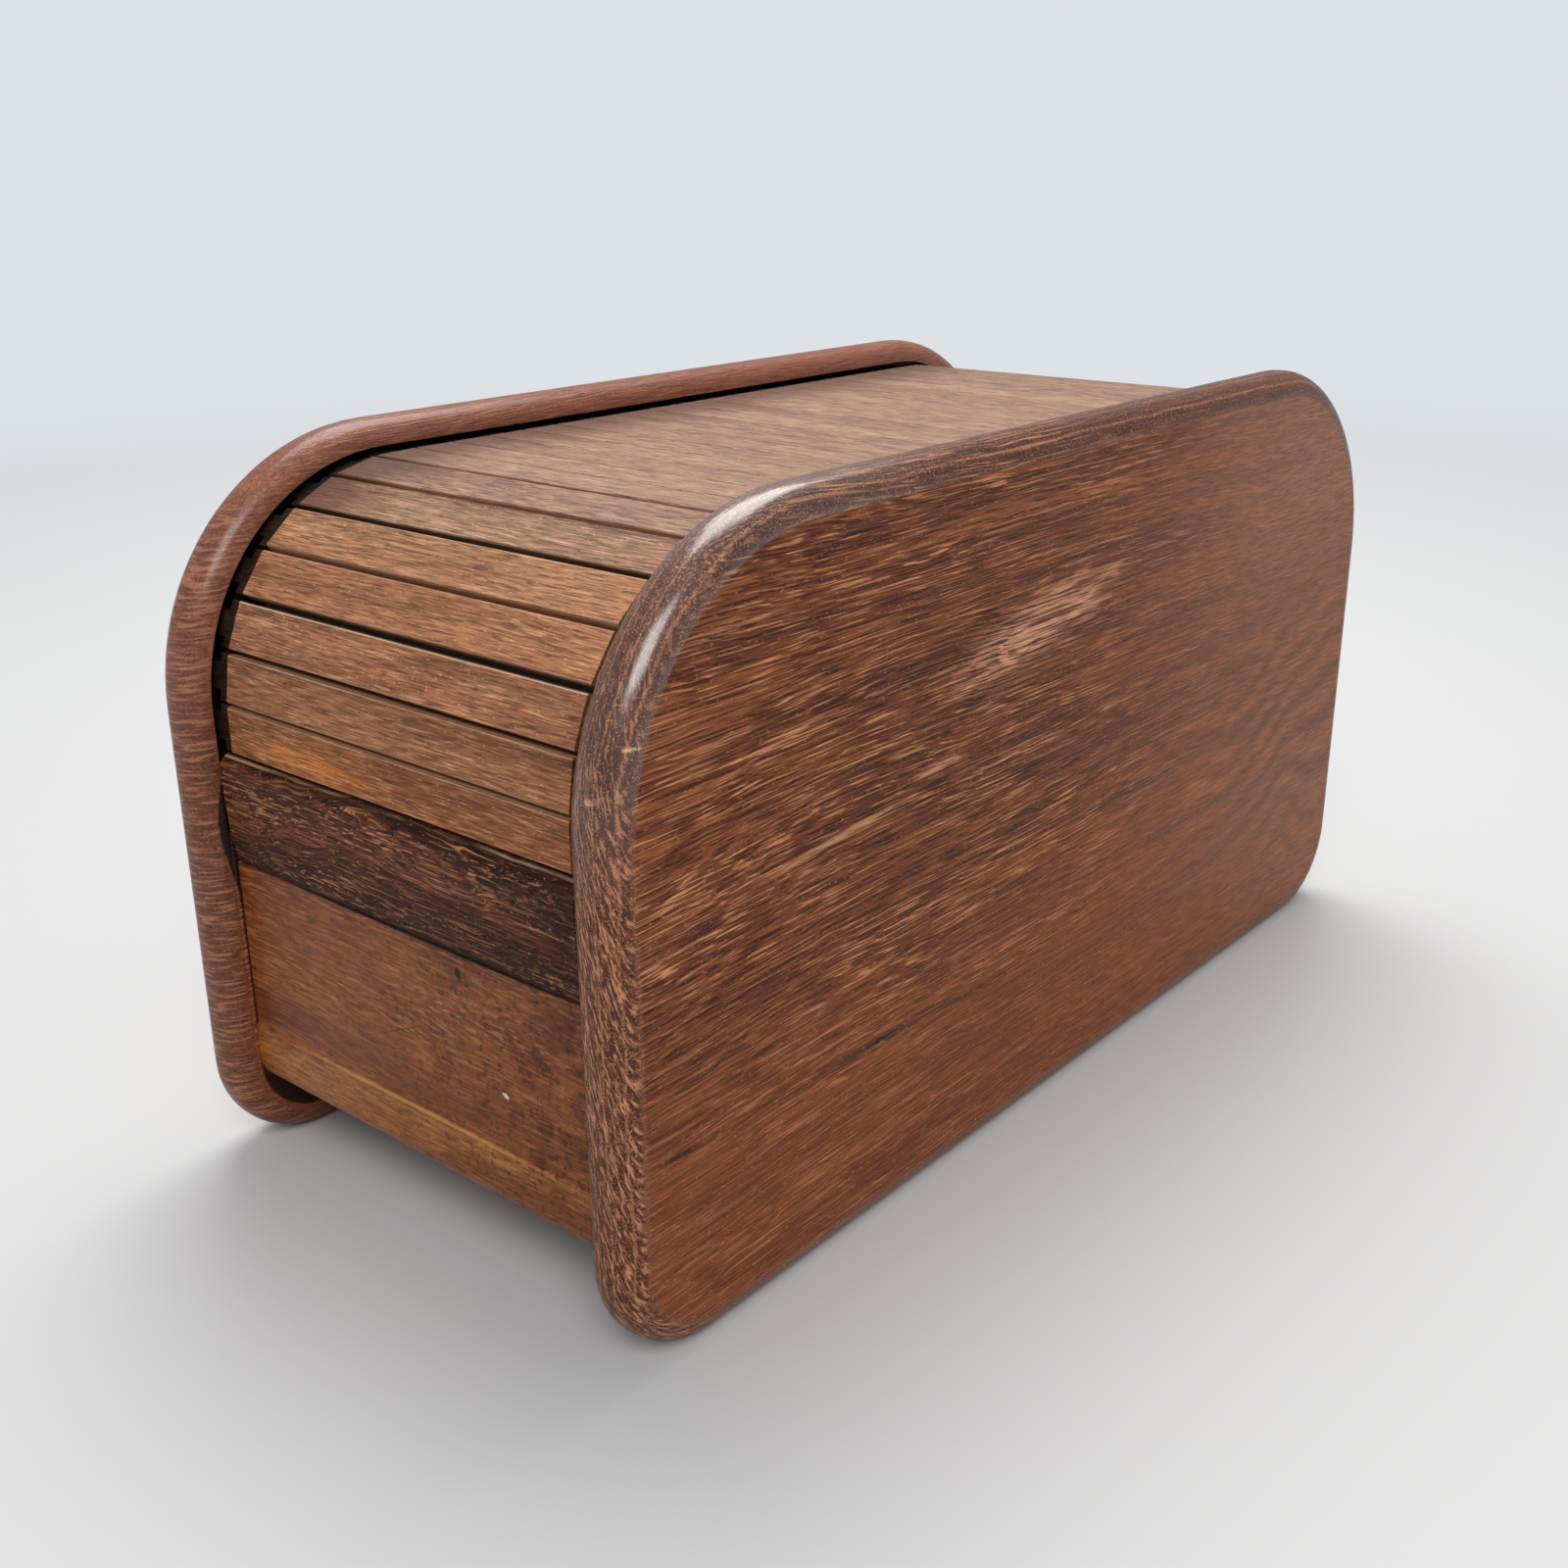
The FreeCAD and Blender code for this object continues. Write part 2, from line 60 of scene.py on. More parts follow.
studio = {
    "overhead": {"place": (-0.45, 0.55, 1.6), "size": 1.2, "watts": 26.0, "tint": (1.0, 0.98, 0.95)},
    "front": {"place": (0.95, -1.15, 1.45), "size": 0.95, "watts": 20.0, "tint": (1.0, 0.98, 0.96)},
}
studioAim = (0.0, 0.0, 0.08)

backdrop = {
    "sky": (222, 226, 230),
    "seenStrength": 1.0,
    "lightStrength": 0.5,
    "floor": (208, 209, 210),
    "cloud": (190, 188, 184),
    "cloudLumps": 3.0,
    "cloudLevels": (0.3, 0.7),
    "cloudAmount": 0.06,
    "roughness": 0.7,
    "floorRadius": 9.0,
    "floorSides": 96,
    "fadeFrom": 0.5,
    "fadeTo": 1.7,
}


# sRGB from 0 to 255 as the linear colour that a socket wants
def paint(red, green, blue):
    linear = [((c / 255 + 0.055) / 1.055) ** 2.4 if c > 10 else c / 255 / 12.92 for c in (red, green, blue)]
    return (*linear, 1.0)


# Shader nodes: a value that is itself a socket is linked, anything else is set on the input.
def addNode(tree, kind, values=None, **settings):
    node = tree.nodes.new(kind)
    for name, setting in settings.items():
        setattr(node, name, setting)
    for key, value in (values or {}).items():
        if isinstance(value, bpy.types.NodeSocket):
            tree.links.new(value, node.inputs[key])
        else:
            node.inputs[key].default_value = value
    return node


def calc(tree, operation, *values):
    return addNode(tree, "ShaderNodeMath", dict(enumerate(values)), operation=operation).outputs[0]


def times(tree, first, second):
    return calc(tree, "MULTIPLY", first, second)


def vectorCalc(tree, operation, *values, result="Vector"):
    node = addNode(tree, "ShaderNodeVectorMath", dict(enumerate(values)), operation=operation)
    return node.outputs[result]


def splitAxes(tree, vector):
    return addNode(tree, "ShaderNodeSeparateXYZ", {0: vector}).outputs


def noise(tree, vector, scale=1.0, detail=2.0, roughness=0.5):
    values = {"Vector": vector, "Scale": scale, "Detail": detail, "Roughness": roughness}
    return addNode(tree, "ShaderNodeTexNoise", values).outputs["Fac"]


# noise stretched along the first axis: how many lumps a metre along it and across it
def stretchedNoise(tree, vector, along, across, detail=2.0, roughness=0.5):
    squeezed = vectorCalc(tree, "MULTIPLY", vector, (along, across, across))
    return noise(tree, squeezed, detail=detail, roughness=roughness)


def remap(tree, value, low, high, toLow=0.0, toHigh=1.0, smooth=False):
    values = {"Value": value, "From Min": low, "From Max": high, "To Min": toLow, "To Max": toHigh}
    kind = "SMOOTHSTEP" if smooth else "LINEAR"
    return addNode(tree, "ShaderNodeMapRange", values, interpolation_type=kind).outputs["Result"]


def blendColours(tree, factor, first, second, mode="MIX"):
    values = {0: factor, 6: first, 7: second}
    return addNode(tree, "ShaderNodeMix", values, data_type="RGBA", blend_type=mode).outputs[2]


# a shade laid over a colour where a mask is
def cover(tree, colour, mask, shade):
    return blendColours(tree, mask, colour, paint(*shade))


# the same, up to a strength
def layOver(tree, colour, mask, strength, shade):
    return cover(tree, colour, times(tree, mask, strength), shade)


def shadeBy(tree, colour, factor):
    return blendColours(tree, 1.0, colour, factor, mode="MULTIPLY")


# the value "none" where a mask is 0, and "full" where it is 1
def between(tree, mask, none, full):
    return remap(tree, mask, 0.0, 1.0, none, full)


def newGroup(name, inputs, outputs):
    tree = bpy.data.node_groups.new(name, "ShaderNodeTree")
    for label, default in inputs.items():
        isVector = isinstance(default, tuple)
        kind = "NodeSocketVector" if isVector else "NodeSocketFloat"
        socket = tree.interface.new_socket(name=label, in_out="INPUT", socket_type=kind)
        socket.default_value = default
    for label in outputs:
        tree.interface.new_socket(name=label, in_out="OUTPUT", socket_type="NodeSocketFloat")
    entry = addNode(tree, "NodeGroupInput")
    leave = addNode(tree, "NodeGroupOutput")
    return tree, entry.outputs, leave


# 1 where a value is at a level, falling to 0 on both sides of it
def band(tree, value, level, width):
    away = calc(tree, "ABSOLUTE", calc(tree, "SUBTRACT", value, level))
    return remap(tree, away, 0.0, width, 1.0, 0.0, smooth=True)


# How the wood's grain is built: lumps a metre along and across it, and the levels of noise that are kept.
grainShape = {
    "slowWave": (3.2, 14.0),
    "quickWave": (40.0, 110.0),
    "quickShare": 0.08,
    "weakestYear": 0.3,
    "lateWood": 8.0,
    "clusters": (14.0, 120.0),
    "clusterLevels": (0.38, 0.60),
    "clusterLeast": 0.30,
    "crestLevels": (0.555, 0.625),
    "gapLevels": (0.46, 0.38),
    "hairs": (120.0, 1700.0),
    "hairLevels": (0.34, 0.66),
    "figure": (6.0, 110.0),
    "pores": (220.0, 2000.0),
    "poreLevels": (0.62, 0.72),
    "flecks": (900.0, 1900.0),
    "fleckLevels": (0.72, 0.80),
    "fleckShift": (1.7, 2.3, 3.1),
}


# Wood in a frame whose X runs along the grain: growth rings round a pith, the broad figure,
# raised lines with dark gaps beside them, open pores and pale flecks.
def makeGrainGroup():
    inputs = {
        "Vector": (0.0, 0.0, 0.0),
        "Offset": (0.0, 0.0, 0.0),
        "Ring Spacing": 0.004,
        "Waver": 0.012,
        "Line Length": 0.045,
        "Line Spacing": 0.0018,
    }
    outputs = ["Rings", "Figure", "Crests", "Gaps", "Hairs", "Pores", "Flecks", "Relief"]
    tree, given, leave = newGroup("wood grain", inputs, outputs)
    shape = grainShape
    place = vectorCalc(tree, "ADD", given["Vector"], given["Offset"])
    slowWave = calc(tree, "SUBTRACT", stretchedNoise(tree, place, *shape["slowWave"]), 0.5)
    quickWave = calc(tree, "SUBTRACT", stretchedNoise(tree, place, *shape["quickWave"]), 0.5)
    waves = calc(tree, "MULTIPLY_ADD", quickWave, shape["quickShare"], slowWave)
    wander = times(tree, waves, given["Waver"])

    across = vectorCalc(tree, "MULTIPLY", given["Vector"], (0.0, 1.0, 1.0))
    radius = calc(tree, "ADD", vectorCalc(tree, "LENGTH", across, result="Value"), wander)
    phase = calc(tree, "DIVIDE", radius, given["Ring Spacing"])
    within = calc(tree, "FRACT", phase)
    year = calc(tree, "FLOOR", phase)
    vigour = addNode(tree, "ShaderNodeTexWhiteNoise", {"W": year}, noise_dimensions="1D").outputs["Value"]
    late = calc(tree, "POWER", within, shape["lateWood"])
    grown = times(tree, within, calc(tree, "SUBTRACT", 1.0, late))
    rings = times(tree, grown, between(tree, vigour, shape["weakestYear"], 1.0))

    shift = addNode(tree, "ShaderNodeCombineXYZ", {1: wander, 2: wander}).outputs[0]
    bent = vectorCalc(tree, "ADD", place, shift)
    perLine = [calc(tree, "DIVIDE", 1.0, given[length]) for length in ("Line Length", "Line Spacing")]
    scales = addNode(tree, "ShaderNodeCombineXYZ", {0: perLine[0], 1: perLine[1], 2: perLine[1]}).outputs[0]
    relief = noise(tree, vectorCalc(tree, "MULTIPLY", bent, scales), detail=1.5, roughness=0.6)
    cluster = stretchedNoise(tree, bent, *shape["clusters"], detail=3.0)
    cluster = remap(tree, cluster, *shape["clusterLevels"], shape["clusterLeast"], 1.0)
    crests = times(tree, remap(tree, relief, *shape["crestLevels"], smooth=True), cluster)
    gaps = remap(tree, relief, *shape["gapLevels"], smooth=True)
    hairs = remap(tree, stretchedNoise(tree, bent, *shape["hairs"], detail=1.0), *shape["hairLevels"])
    figure = stretchedNoise(tree, bent, *shape["figure"], detail=4.0, roughness=0.6)
    pores = stretchedNoise(tree, place, *shape["pores"], detail=0.0)
    pores = remap(tree, pores, *shape["poreLevels"], smooth=True)
    elsewhere = vectorCalc(tree, "ADD", place, shape["fleckShift"])
    flecks = stretchedNoise(tree, elsewhere, *shape["flecks"], detail=0.0)
    flecks = remap(tree, flecks, *shape["fleckLevels"], smooth=True)
    found = (rings, figure, crests, gaps, hairs, pores, flecks, relief)
    for label, socket in zip(outputs, found):
        tree.links.new(socket, leave.inputs[label])
    return tree


# A ragged patch in its own frame, of radius 1: 1 inside, 0 outside, its rim broken up by noise.
def makeMarkGroup():
    inputs = {"Vector": (0.0, 0.0, 0.0), "Raggedness": 0.5, "Softness": 0.3}
    tree, given, leave = newGroup("ragged mark", inputs, ["Mask"])
    distance = vectorCalc(tree, "LENGTH", given["Vector"], result="Value")
    rough = calc(tree, "SUBTRACT", noise(tree, given["Vector"], scale=2.6, detail=3.0, roughness=0.65), 0.5)
    distance = calc(tree, "ADD", distance, times(tree, rough, given["Raggedness"]))
    start = calc(tree, "SUBTRACT", 1.0, given["Softness"])
    mask = calc(tree, "SUBTRACT", 1.0, remap(tree, distance, start, 1.0, smooth=True))
    tree.links.new(mask, leave.inputs["Mask"])
    return tree


grimeShape = {"patches": 70.0, "reach": 0.4, "softness": 0.8}


# Uneven speckles of grime; Cover is how much of the surface they take.
def makeGrimeGroup():
    inputs = {"Vector": (0.0, 0.0, 0.0), "Speckle": 900.0, "Cover": 0.4}
    tree, given, leave = newGroup("grime", inputs, ["Mask"])
    broad = noise(tree, given["Vector"], scale=grimeShape["patches"], detail=3.0, roughness=0.6)
    fine = noise(tree, given["Vector"], scale=given["Speckle"])
    both = times(tree, broad, fine)
    level = calc(tree, "SUBTRACT", 0.5, times(tree, given["Cover"], grimeShape["reach"]))
    mask = remap(tree, both, times(tree, level, grimeShape["softness"]), level, smooth=True)
    tree.links.new(mask, leave.inputs["Mask"])
    return tree


# How far inside a side panel's outline a point lies, in metres; the inputs are that outline's sizes.
def makePanelEdgeGroup():
    inputs = {
        "Vector": (0.0, 0.0, 0.0),
        "Half Depth": 0.187,
        "Half Height": 0.1,
        "Top Radius": 0.068,
        "Base Radius": 0.028,
    }
    tree, given, leave = newGroup("panel edge", inputs, ["Distance"])
    parts = splitAxes(tree, given["Vector"])
    rise = calc(tree, "SUBTRACT", parts["Z"], given["Half Height"])
    isTop = calc(tree, "GREATER_THAN", rise, 0.0)
    spread = calc(tree, "SUBTRACT", given["Top Radius"], given["Base Radius"])
    radius = calc(tree, "ADD", given["Base Radius"], times(tree, isTop, spread))
    overs = []
    for length, half in ((parts["Y"], given["Half Depth"]), (rise, given["Half Height"])):
        core = calc(tree, "SUBTRACT", half, radius)
        overs.append(calc(tree, "SUBTRACT", calc(tree, "ABSOLUTE", length), core))
    outward = [calc(tree, "MAXIMUM", over, 0.0) for over in overs]
    squares = [times(tree, length, length) for length in outward]
    corner = calc(tree, "SQRT", calc(tree, "ADD", *squares))
    inside = calc(tree, "MINIMUM", calc(tree, "MAXIMUM", *overs), 0.0)
    distance = calc(tree, "SUBTRACT", radius, calc(tree, "ADD", corner, inside))
    tree.links.new(distance, leave.inputs["Distance"])
    return tree


# Plain weave on the two axes of the cloth: height of the threads, and a slow fading of their colour.
def makeWeaveGroup():
    inputs = {"Vector": (0.0, 0.0, 0.0), "Threads": 1400.0}
    tree, given, leave = newGroup("canvas weave", inputs, ["Height", "Fade"])
    values = {"Vector": given["Vector"], "Scale": times(tree, given["Threads"], math.pi)}
    turns = addNode(tree, "ShaderNodeVectorMath", values, operation="SCALE").outputs["Vector"]
    parts = splitAxes(tree, turns)
    warp = calc(tree, "ABSOLUTE", calc(tree, "SINE", parts["X"]))
    weft = calc(tree, "ABSOLUTE", calc(tree, "SINE", parts["Y"]))
    tree.links.new(times(tree, warp, weft), leave.inputs["Height"])
    fade = noise(tree, given["Vector"], scale=160.0, detail=3.0)
    tree.links.new(fade, leave.inputs["Fade"])
    return tree


groups = {
    "grain": makeGrainGroup(),
    "mark": makeMarkGroup(),
    "grime": makeGrimeGroup(),
    "panelEdge": makePanelEdgeGroup(),
    "weave": makeWeaveGroup(),
}
print("shader groups made:", len(groups))


def useGroup(tree, name, values):
    return addNode(tree, "ShaderNodeGroup", values, node_tree=groups[name]).outputs


def newMaterial(name):
    material = bpy.data.materials.new(name)
    material.use_nodes = True
    tree = material.node_tree
    shader = tree.nodes["Principled BSDF"]
    return material, tree, shader


# Object coordinates in the frame of a piece of wood: X along the grain.
def woodCoordinates(tree, location=(0, 0, 0), rotation=(0, 0, 0), kind="POINT"):
    place = addNode(tree, "ShaderNodeTexCoord").outputs["Object"]
    values = {"Vector": place, "Location": location, "Rotation": rotation}
    turned = addNode(tree, "ShaderNodeMapping", values, vector_type=kind).outputs["Vector"]
    return place, turned


# where the raised grain starts to show through a mark, and where it carries the mark whole
lineLevels = (0.45, 0.56)


# Marks: centre and half size in metres, colour and strength; "turn" tilts one in the face it lies on,
# whose normal is "flat" or else X, and "lines" lets the raised grain break it up.
def applyMarks(tree, place, colour, relief, marks):
    for mark in marks.values():
        turn = mark.get("turn", 0.0)
        rotation = (0.0, -turn, 0.0) if mark.get("flat") == "Y" else (turn, 0.0, 0.0)
        values = {"Vector": place, "Location": mark["centre"], "Rotation": rotation, "Scale": mark["half"]}
        local = addNode(tree, "ShaderNodeMapping", values, vector_type="TEXTURE").outputs["Vector"]
        values = {"Vector": local, "Raggedness": mark["ragged"], "Softness": mark["soft"]}
        mask = useGroup(tree, "mark", values)["Mask"]
        if "lines" in mark:
            mask = times(tree, mask, remap(tree, relief, *lineLevels, 1.0 - mark["lines"], 1.0))
        colour = layOver(tree, colour, mask, mark["strength"], mark["colour"])
    return colour


# fine light and dark hairs multiplied over a wood's colour
def hairLines(tree, colour, grain, depth):
    shade = between(tree, grain["Hairs"], 1.0 - depth, 1.0 + depth)
    return shadeBy(tree, colour, shade)


# brown and light wood, by the broad figure
def startColour(tree, grain, levels, tones):
    figure = remap(tree, grain["Figure"], *levels["figure"])
    return blendColours(tree, figure, paint(*tones["brown"]), paint(*tones["light"]))


def sinkPores(tree, height, grain, depth):
    return calc(tree, "SUBTRACT", height, times(tree, grain["Pores"], depth))


def finishSurface(tree, shader, colour, roughness, height, bump):
    tree.links.new(colour, shader.inputs["Base Color"])
    tree.links.new(roughness, shader.inputs["Roughness"])
    values = {"Height": height, "Strength": bump["strength"], "Distance": bump["depth"]}
    relief = addNode(tree, "ShaderNodeBump", values)
    tree.links.new(relief.outputs["Normal"], shader.inputs["Normal"])


plainGloss = 0.18    # specular level of the wood, where its bump gives no other


def finishWood(tree, shader, colour, roughness, height, bump):
    finishSurface(tree, shader, colour, roughness, height, bump)
    shader.inputs["Specular IOR Level"].default_value = bump.get("gloss", plainGloss)


# In each wood below, "ranges" are metres, from where a change starts to where it is full, "levels" are
# values of a noise and "amounts" are strengths.

# Side panels: flat-sawn teak, grain front to back. What differs on their rounded edges is in panelEdges.
panelWood = {
    "brown": (108, 54, 30),
    "light": (146, 80, 43),
    "dark": (50, 22, 13),
    "orange": (142, 74, 38),
    "rear": (148, 98, 68),
    "rearSheen": (176, 130, 114),
    "crest": (214, 146, 98),
    "stroke": (208, 148, 112),
    # hidden: the nearly black painted shade of the grooves and the painted shadow beside the handle
    "hidden": (24, 17, 15),
    "grain": {"Ring Spacing": 0.0034, "Waver": 0.020, "Line Length": 0.022, "Line Spacing": 0.00056},
    "hairs": 0.22,
    "pithHeight": 0.145,
    "pithBeyond": 0.075,
    "figureSwell": (0.0, 15.0, 7.0),
    "figureSway": 0.075,
    "figureSpacing": 0.013,
    "figureDepth": 0.21,
    "figureLevel": 0.075,
    "figureReach": 0.075,
    "ringLumps": 32.0,
    "ringSway": 0.0022,
    "ringSpacing": 0.0041,
    "ringWidth": 0.10,
    "dotLumps": 2300.0,
    "handleLevel": 0.100,
    "handleReach": 0.024,
    "trackRim": 0.0079,
    "handleRim": 0.0036,
    "ranges": {
        "edge": (0.0079, 0.0071),
        "wellRound": (0.0070, 0.0052),
        "end": (0.150, 0.176),
        "rear": (0.00, 0.15),
        "low": (0.090, 0.040),
        "wornSmooth": (-0.07, 0.11),
        "rearSheen": (0.10, 0.18),
        "edgeTone": (0.150, 0.120),
        "strokes": (0.165, 0.115),
        "inner": (0.0770, 0.0760),
        "byHandle": (-0.16, -0.17),
        "trackOuter": (0.0, 0.0006),
        "trackInner": (0.0200, 0.0170),
        "polishUp": (0.115, 0.165),
        "polishBack": (-0.13, -0.04),
    },
    "levels": {
        "figure": (0.38, 0.62),
        "hollows": (0.50, 0.42),
        "raised": (0.54, 0.62),
        "ringDots": (0.40, 0.56),
        "dots": (0.66, 0.72),
        "gloss": (0.3, 0.7),
    },
    "amounts": {
        "reliefRear": 0.16, "reliefLow": 0.42, "orange": 0.6, "rear": 0.55, "rearSheen": 0.30, "rings": 0.22,
        "edge": 0.75, "gaps": 0.80, "crests": 0.90, "flecks": 0.30, "rearFlecks": 0.06,
        "rearStrokes": 0.5, "hollows": 0.95, "raised": 0.72, "carved": 0.22, "faintRing": 0.15,
        "track": 0.95, "edgeGloss": 0.10, "lowPolish": 0.1, "backPolish": 0.2, "poreDepth": 0.12,
    },
    "roughness": (0.42, 0.52),
    "coatRoughness": 0.23,
    "coatIor": 1.7,
    "bump": {"strength": 1.0, "depth": 0.0011},
}

# centre and half size in metres; "lines" says how much the raised grain breaks the mark up
rightMarks = {
    "dark middle": {"centre": (0.0844, -0.030, 0.125), "half": (0.02, 0.105, 0.052), "colour": (62, 32, 25),
                    "strength": 0.30, "ragged": 0.9, "soft": 0.95},
    "worn patch": {"centre": (0.0844, -0.026, 0.1480), "half": (0.01, 0.048, 0.0112),
                   "colour": (228, 164, 126),
                   "strength": 0.92, "ragged": 1.3, "soft": 0.7, "lines": 0.75, "turn": 0.19},
    "low dark line": {"centre": (0.0844, -0.088, 0.0520), "half": (0.01, 0.095, 0.0032),
                      "colour": (52, 26, 20), "strength": 0.62, "ragged": 0.8, "soft": 0.95, "turn": -0.040},
    "dark check": {"centre": (0.0844, -0.0915, 0.0530), "half": (0.01, 0.012, 0.0010), "colour": (24, 14, 12),
                   "strength": 0.9, "ragged": 0.5, "soft": 0.8, "turn": -0.040},
    "front check": {"centre": (0.0844, -0.170, 0.0552), "half": (0.01, 0.009, 0.0012), "colour": (34, 19, 16),
                    "strength": 0.8, "ragged": 0.6, "soft": 0.8},
    "long pale streak": {"centre": (0.0844, -0.110, 0.1145), "half": (0.01, 0.032, 0.0015),
                         "colour": (220, 160, 116),
                         "strength": 0.85, "ragged": 0.9, "soft": 0.8, "lines": 0.3, "turn": 0.06},
    "short pale streak": {"centre": (0.0844, -0.070, 0.1210), "half": (0.01, 0.014, 0.0014),
                          "colour": (220, 160, 116),
                          "strength": 0.85, "ragged": 0.8, "soft": 0.8, "turn": 0.06},
    "upper streak": {"centre": (0.0844, -0.150, 0.1735), "half": (0.01, 0.022, 0.0011),
                     "colour": (200, 140, 100),
                     "strength": 0.6, "ragged": 0.8, "soft": 0.8, "lines": 0.5, "turn": 0.05},
    "edge chip": {"centre": (0.0778, -0.1855, 0.1437), "half": (0.0017, 0.004, 0.0007),
                  "colour": (222, 170, 124), "strength": 0.9, "ragged": 2.2, "soft": 0.3},
    "chip shadow": {"centre": (0.0770, -0.1855, 0.1455), "half": (0.0030, 0.004, 0.0007),
                    "colour": (30, 18, 16), "strength": 0.8, "ragged": 1.0, "soft": 0.4},
    "upper chip": {"centre": (0.0838, -0.1790, 0.1545), "half": (0.0015, 0.003, 0.0005),
                   "colour": (232, 186, 132), "strength": 0.9, "ragged": 2.0, "soft": 0.3},
}


# The rounded edges: tone high up and low down, polish, how far the raised grain is smoothed away, growth
# rings and dots, and the slant, lumps a metre and depth (high up, low down) of the end grain's strokes.
panelEdges = {
    "right": {"tone": (70, 38, 30), "low": (118, 70, 49), "polish": 1.0, "smooth": 0.35, "rings": 0.50,
              "dots": 0.50, "turn": 0.22, "strokes": (2500.0, 100.0, 320.0), "depth": (0.40, 0.80)},
    "left": {"tone": (136, 83, 67), "low": (112, 65, 47), "polish": 0.30, "smooth": 0.75, "rings": 0.0,
             "dots": 0.20, "turn": 0.06, "strokes": (150.0, 60.0, 1100.0), "depth": (0.40, 0.40)},
}


def panelFinish(name, side, offset, marks):
    material, tree, shader = newMaterial(name)
    wood = panelWood
    ranges = wood["ranges"]
    levels = wood["levels"]
    amounts = wood["amounts"]
    rounded = panelEdges["right" if side > 0 else "left"]
    face = abs(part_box("side_panel_right")[1][0])
    pith = (0.0, side * (face + wood["pithBeyond"]), -wood["pithHeight"])
    place, turned = woodCoordinates(tree, location=pith, rotation=(0, 0, -math.pi / 2))
    grain = useGroup(tree, "grain", {"Vector": turned, "Offset": offset, **wood["grain"]})
    parts = splitAxes(tree, place)
    edge = useGroup(tree, "panelEdge", {"Vector": place})["Distance"]
    onEdge = remap(tree, edge, *ranges["edge"], smooth=True)
    wellRound = remap(tree, edge, *ranges["wellRound"], smooth=True)
    atEnd = remap(tree, calc(tree, "ABSOLUTE", parts["Y"]), *ranges["end"], smooth=True)
    endGrain = times(tree, wellRound, atEnd)
    alongGrain = calc(tree, "SUBTRACT", 1.0, endGrain)
    rearness = remap(tree, parts["Y"], *ranges["rear"], smooth=True)
    lowness = remap(tree, parts["Z"], *ranges["low"], smooth=True)
    # raised grain is strong at the front and weaker towards the rear and below
    worn = remap(tree, parts["Y"], *ranges["wornSmooth"], 1.0, amounts["reliefRear"], smooth=True)
    strong = times(tree, worn, between(tree, lowness, 1.0, amounts["reliefLow"]))
    strong = times(tree, strong, alongGrain)
    strong = times(tree, strong, between(tree, onEdge, 1.0, 1.0 - rounded["smooth"]))

    colour = startColour(tree, grain, levels, wood)
    colour = layOver(tree, colour, lowness, amounts["orange"], wood["orange"])
    colour = layOver(tree, colour, rearness, amounts["rear"], wood["rear"])
    # painted sheen: a pale reflection painted high up towards the rear
    rearSheen = remap(tree, parts["Z"], *ranges["rearSheen"], 0.0, amounts["rearSheen"], smooth=True)
    colour = layOver(tree, colour, rearness, rearSheen, wood["rearSheen"])
    colour = layOver(tree, colour, grain["Rings"], amounts["rings"], wood["dark"])
    below = remap(tree, parts["Z"], *ranges["edgeTone"], smooth=True)
    edgeTone = blendColours(tree, below, paint(*rounded["tone"]), paint(*rounded["low"]))
    colour = blendColours(tree, times(tree, onEdge, amounts["edge"]), colour, edgeTone)
    colour = applyMarks(tree, place, colour, grain["Relief"], marks)
    # raised grain: the wood's own pale lines and dark gaps, in part a painted highlight on the crests and
    # painted shade in the gaps
    gaps = times(tree, strong, amounts["gaps"])
    colour = layOver(tree, colour, grain["Gaps"], gaps, wood["dark"])
    crests = times(tree, strong, amounts["crests"])
    colour = layOver(tree, colour, grain["Crests"], crests, wood["crest"])
    flecks = between(tree, rearness, amounts["flecks"], amounts["rearFlecks"])
    colour = layOver(tree, colour, grain["Flecks"], flecks, wood["crest"])
    colour = hairLines(tree, colour, grain, wood["hairs"])
    # a wavy figure at the rear, below the middle
    sway = vectorCalc(tree, "MULTIPLY", place, wood["figureSwell"])
    level = calc(tree, "MULTIPLY_ADD", noise(tree, sway, detail=1.0), wood["figureSway"], parts["Z"])
    wave = calc(tree, "SINE", times(tree, level, math.tau / wood["figureSpacing"]))
    here = times(tree, rearness, band(tree, parts["Z"], wood["figureLevel"], wood["figureReach"]))
    wave = calc(tree, "MULTIPLY_ADD", times(tree, wave, here), wood["figureDepth"], 1.0)
    colour = shadeBy(tree, colour, wave)

    # end grain on the front and rear edges: slanted strokes, on the right panel strongest low down
    values = {"Vector": place, "Rotation": (0.0, rounded["turn"], 0.0)}
    slant = addNode(tree, "ShaderNodeMapping", values).outputs[0]
    strokes = noise(tree, vectorCalc(tree, "MULTIPLY", slant, rounded["strokes"]), detail=1.0)
    low = remap(tree, parts["Z"], *ranges["strokes"], *rounded["depth"], smooth=True)
    low = times(tree, low, endGrain)
    low = times(tree, low, between(tree, rearness, 1.0, amounts["rearStrokes"]))
    hollows = times(tree, remap(tree, strokes, *levels["hollows"], smooth=True), low)
    colour = layOver(tree, colour, hollows, amounts["hollows"], wood["dark"])
    raised = times(tree, remap(tree, strokes, *levels["raised"], smooth=True), low)
    colour = layOver(tree, colour, raised, amounts["raised"], wood["stroke"])
    carved = times(tree, calc(tree, "SUBTRACT", raised, hollows), amounts["carved"])
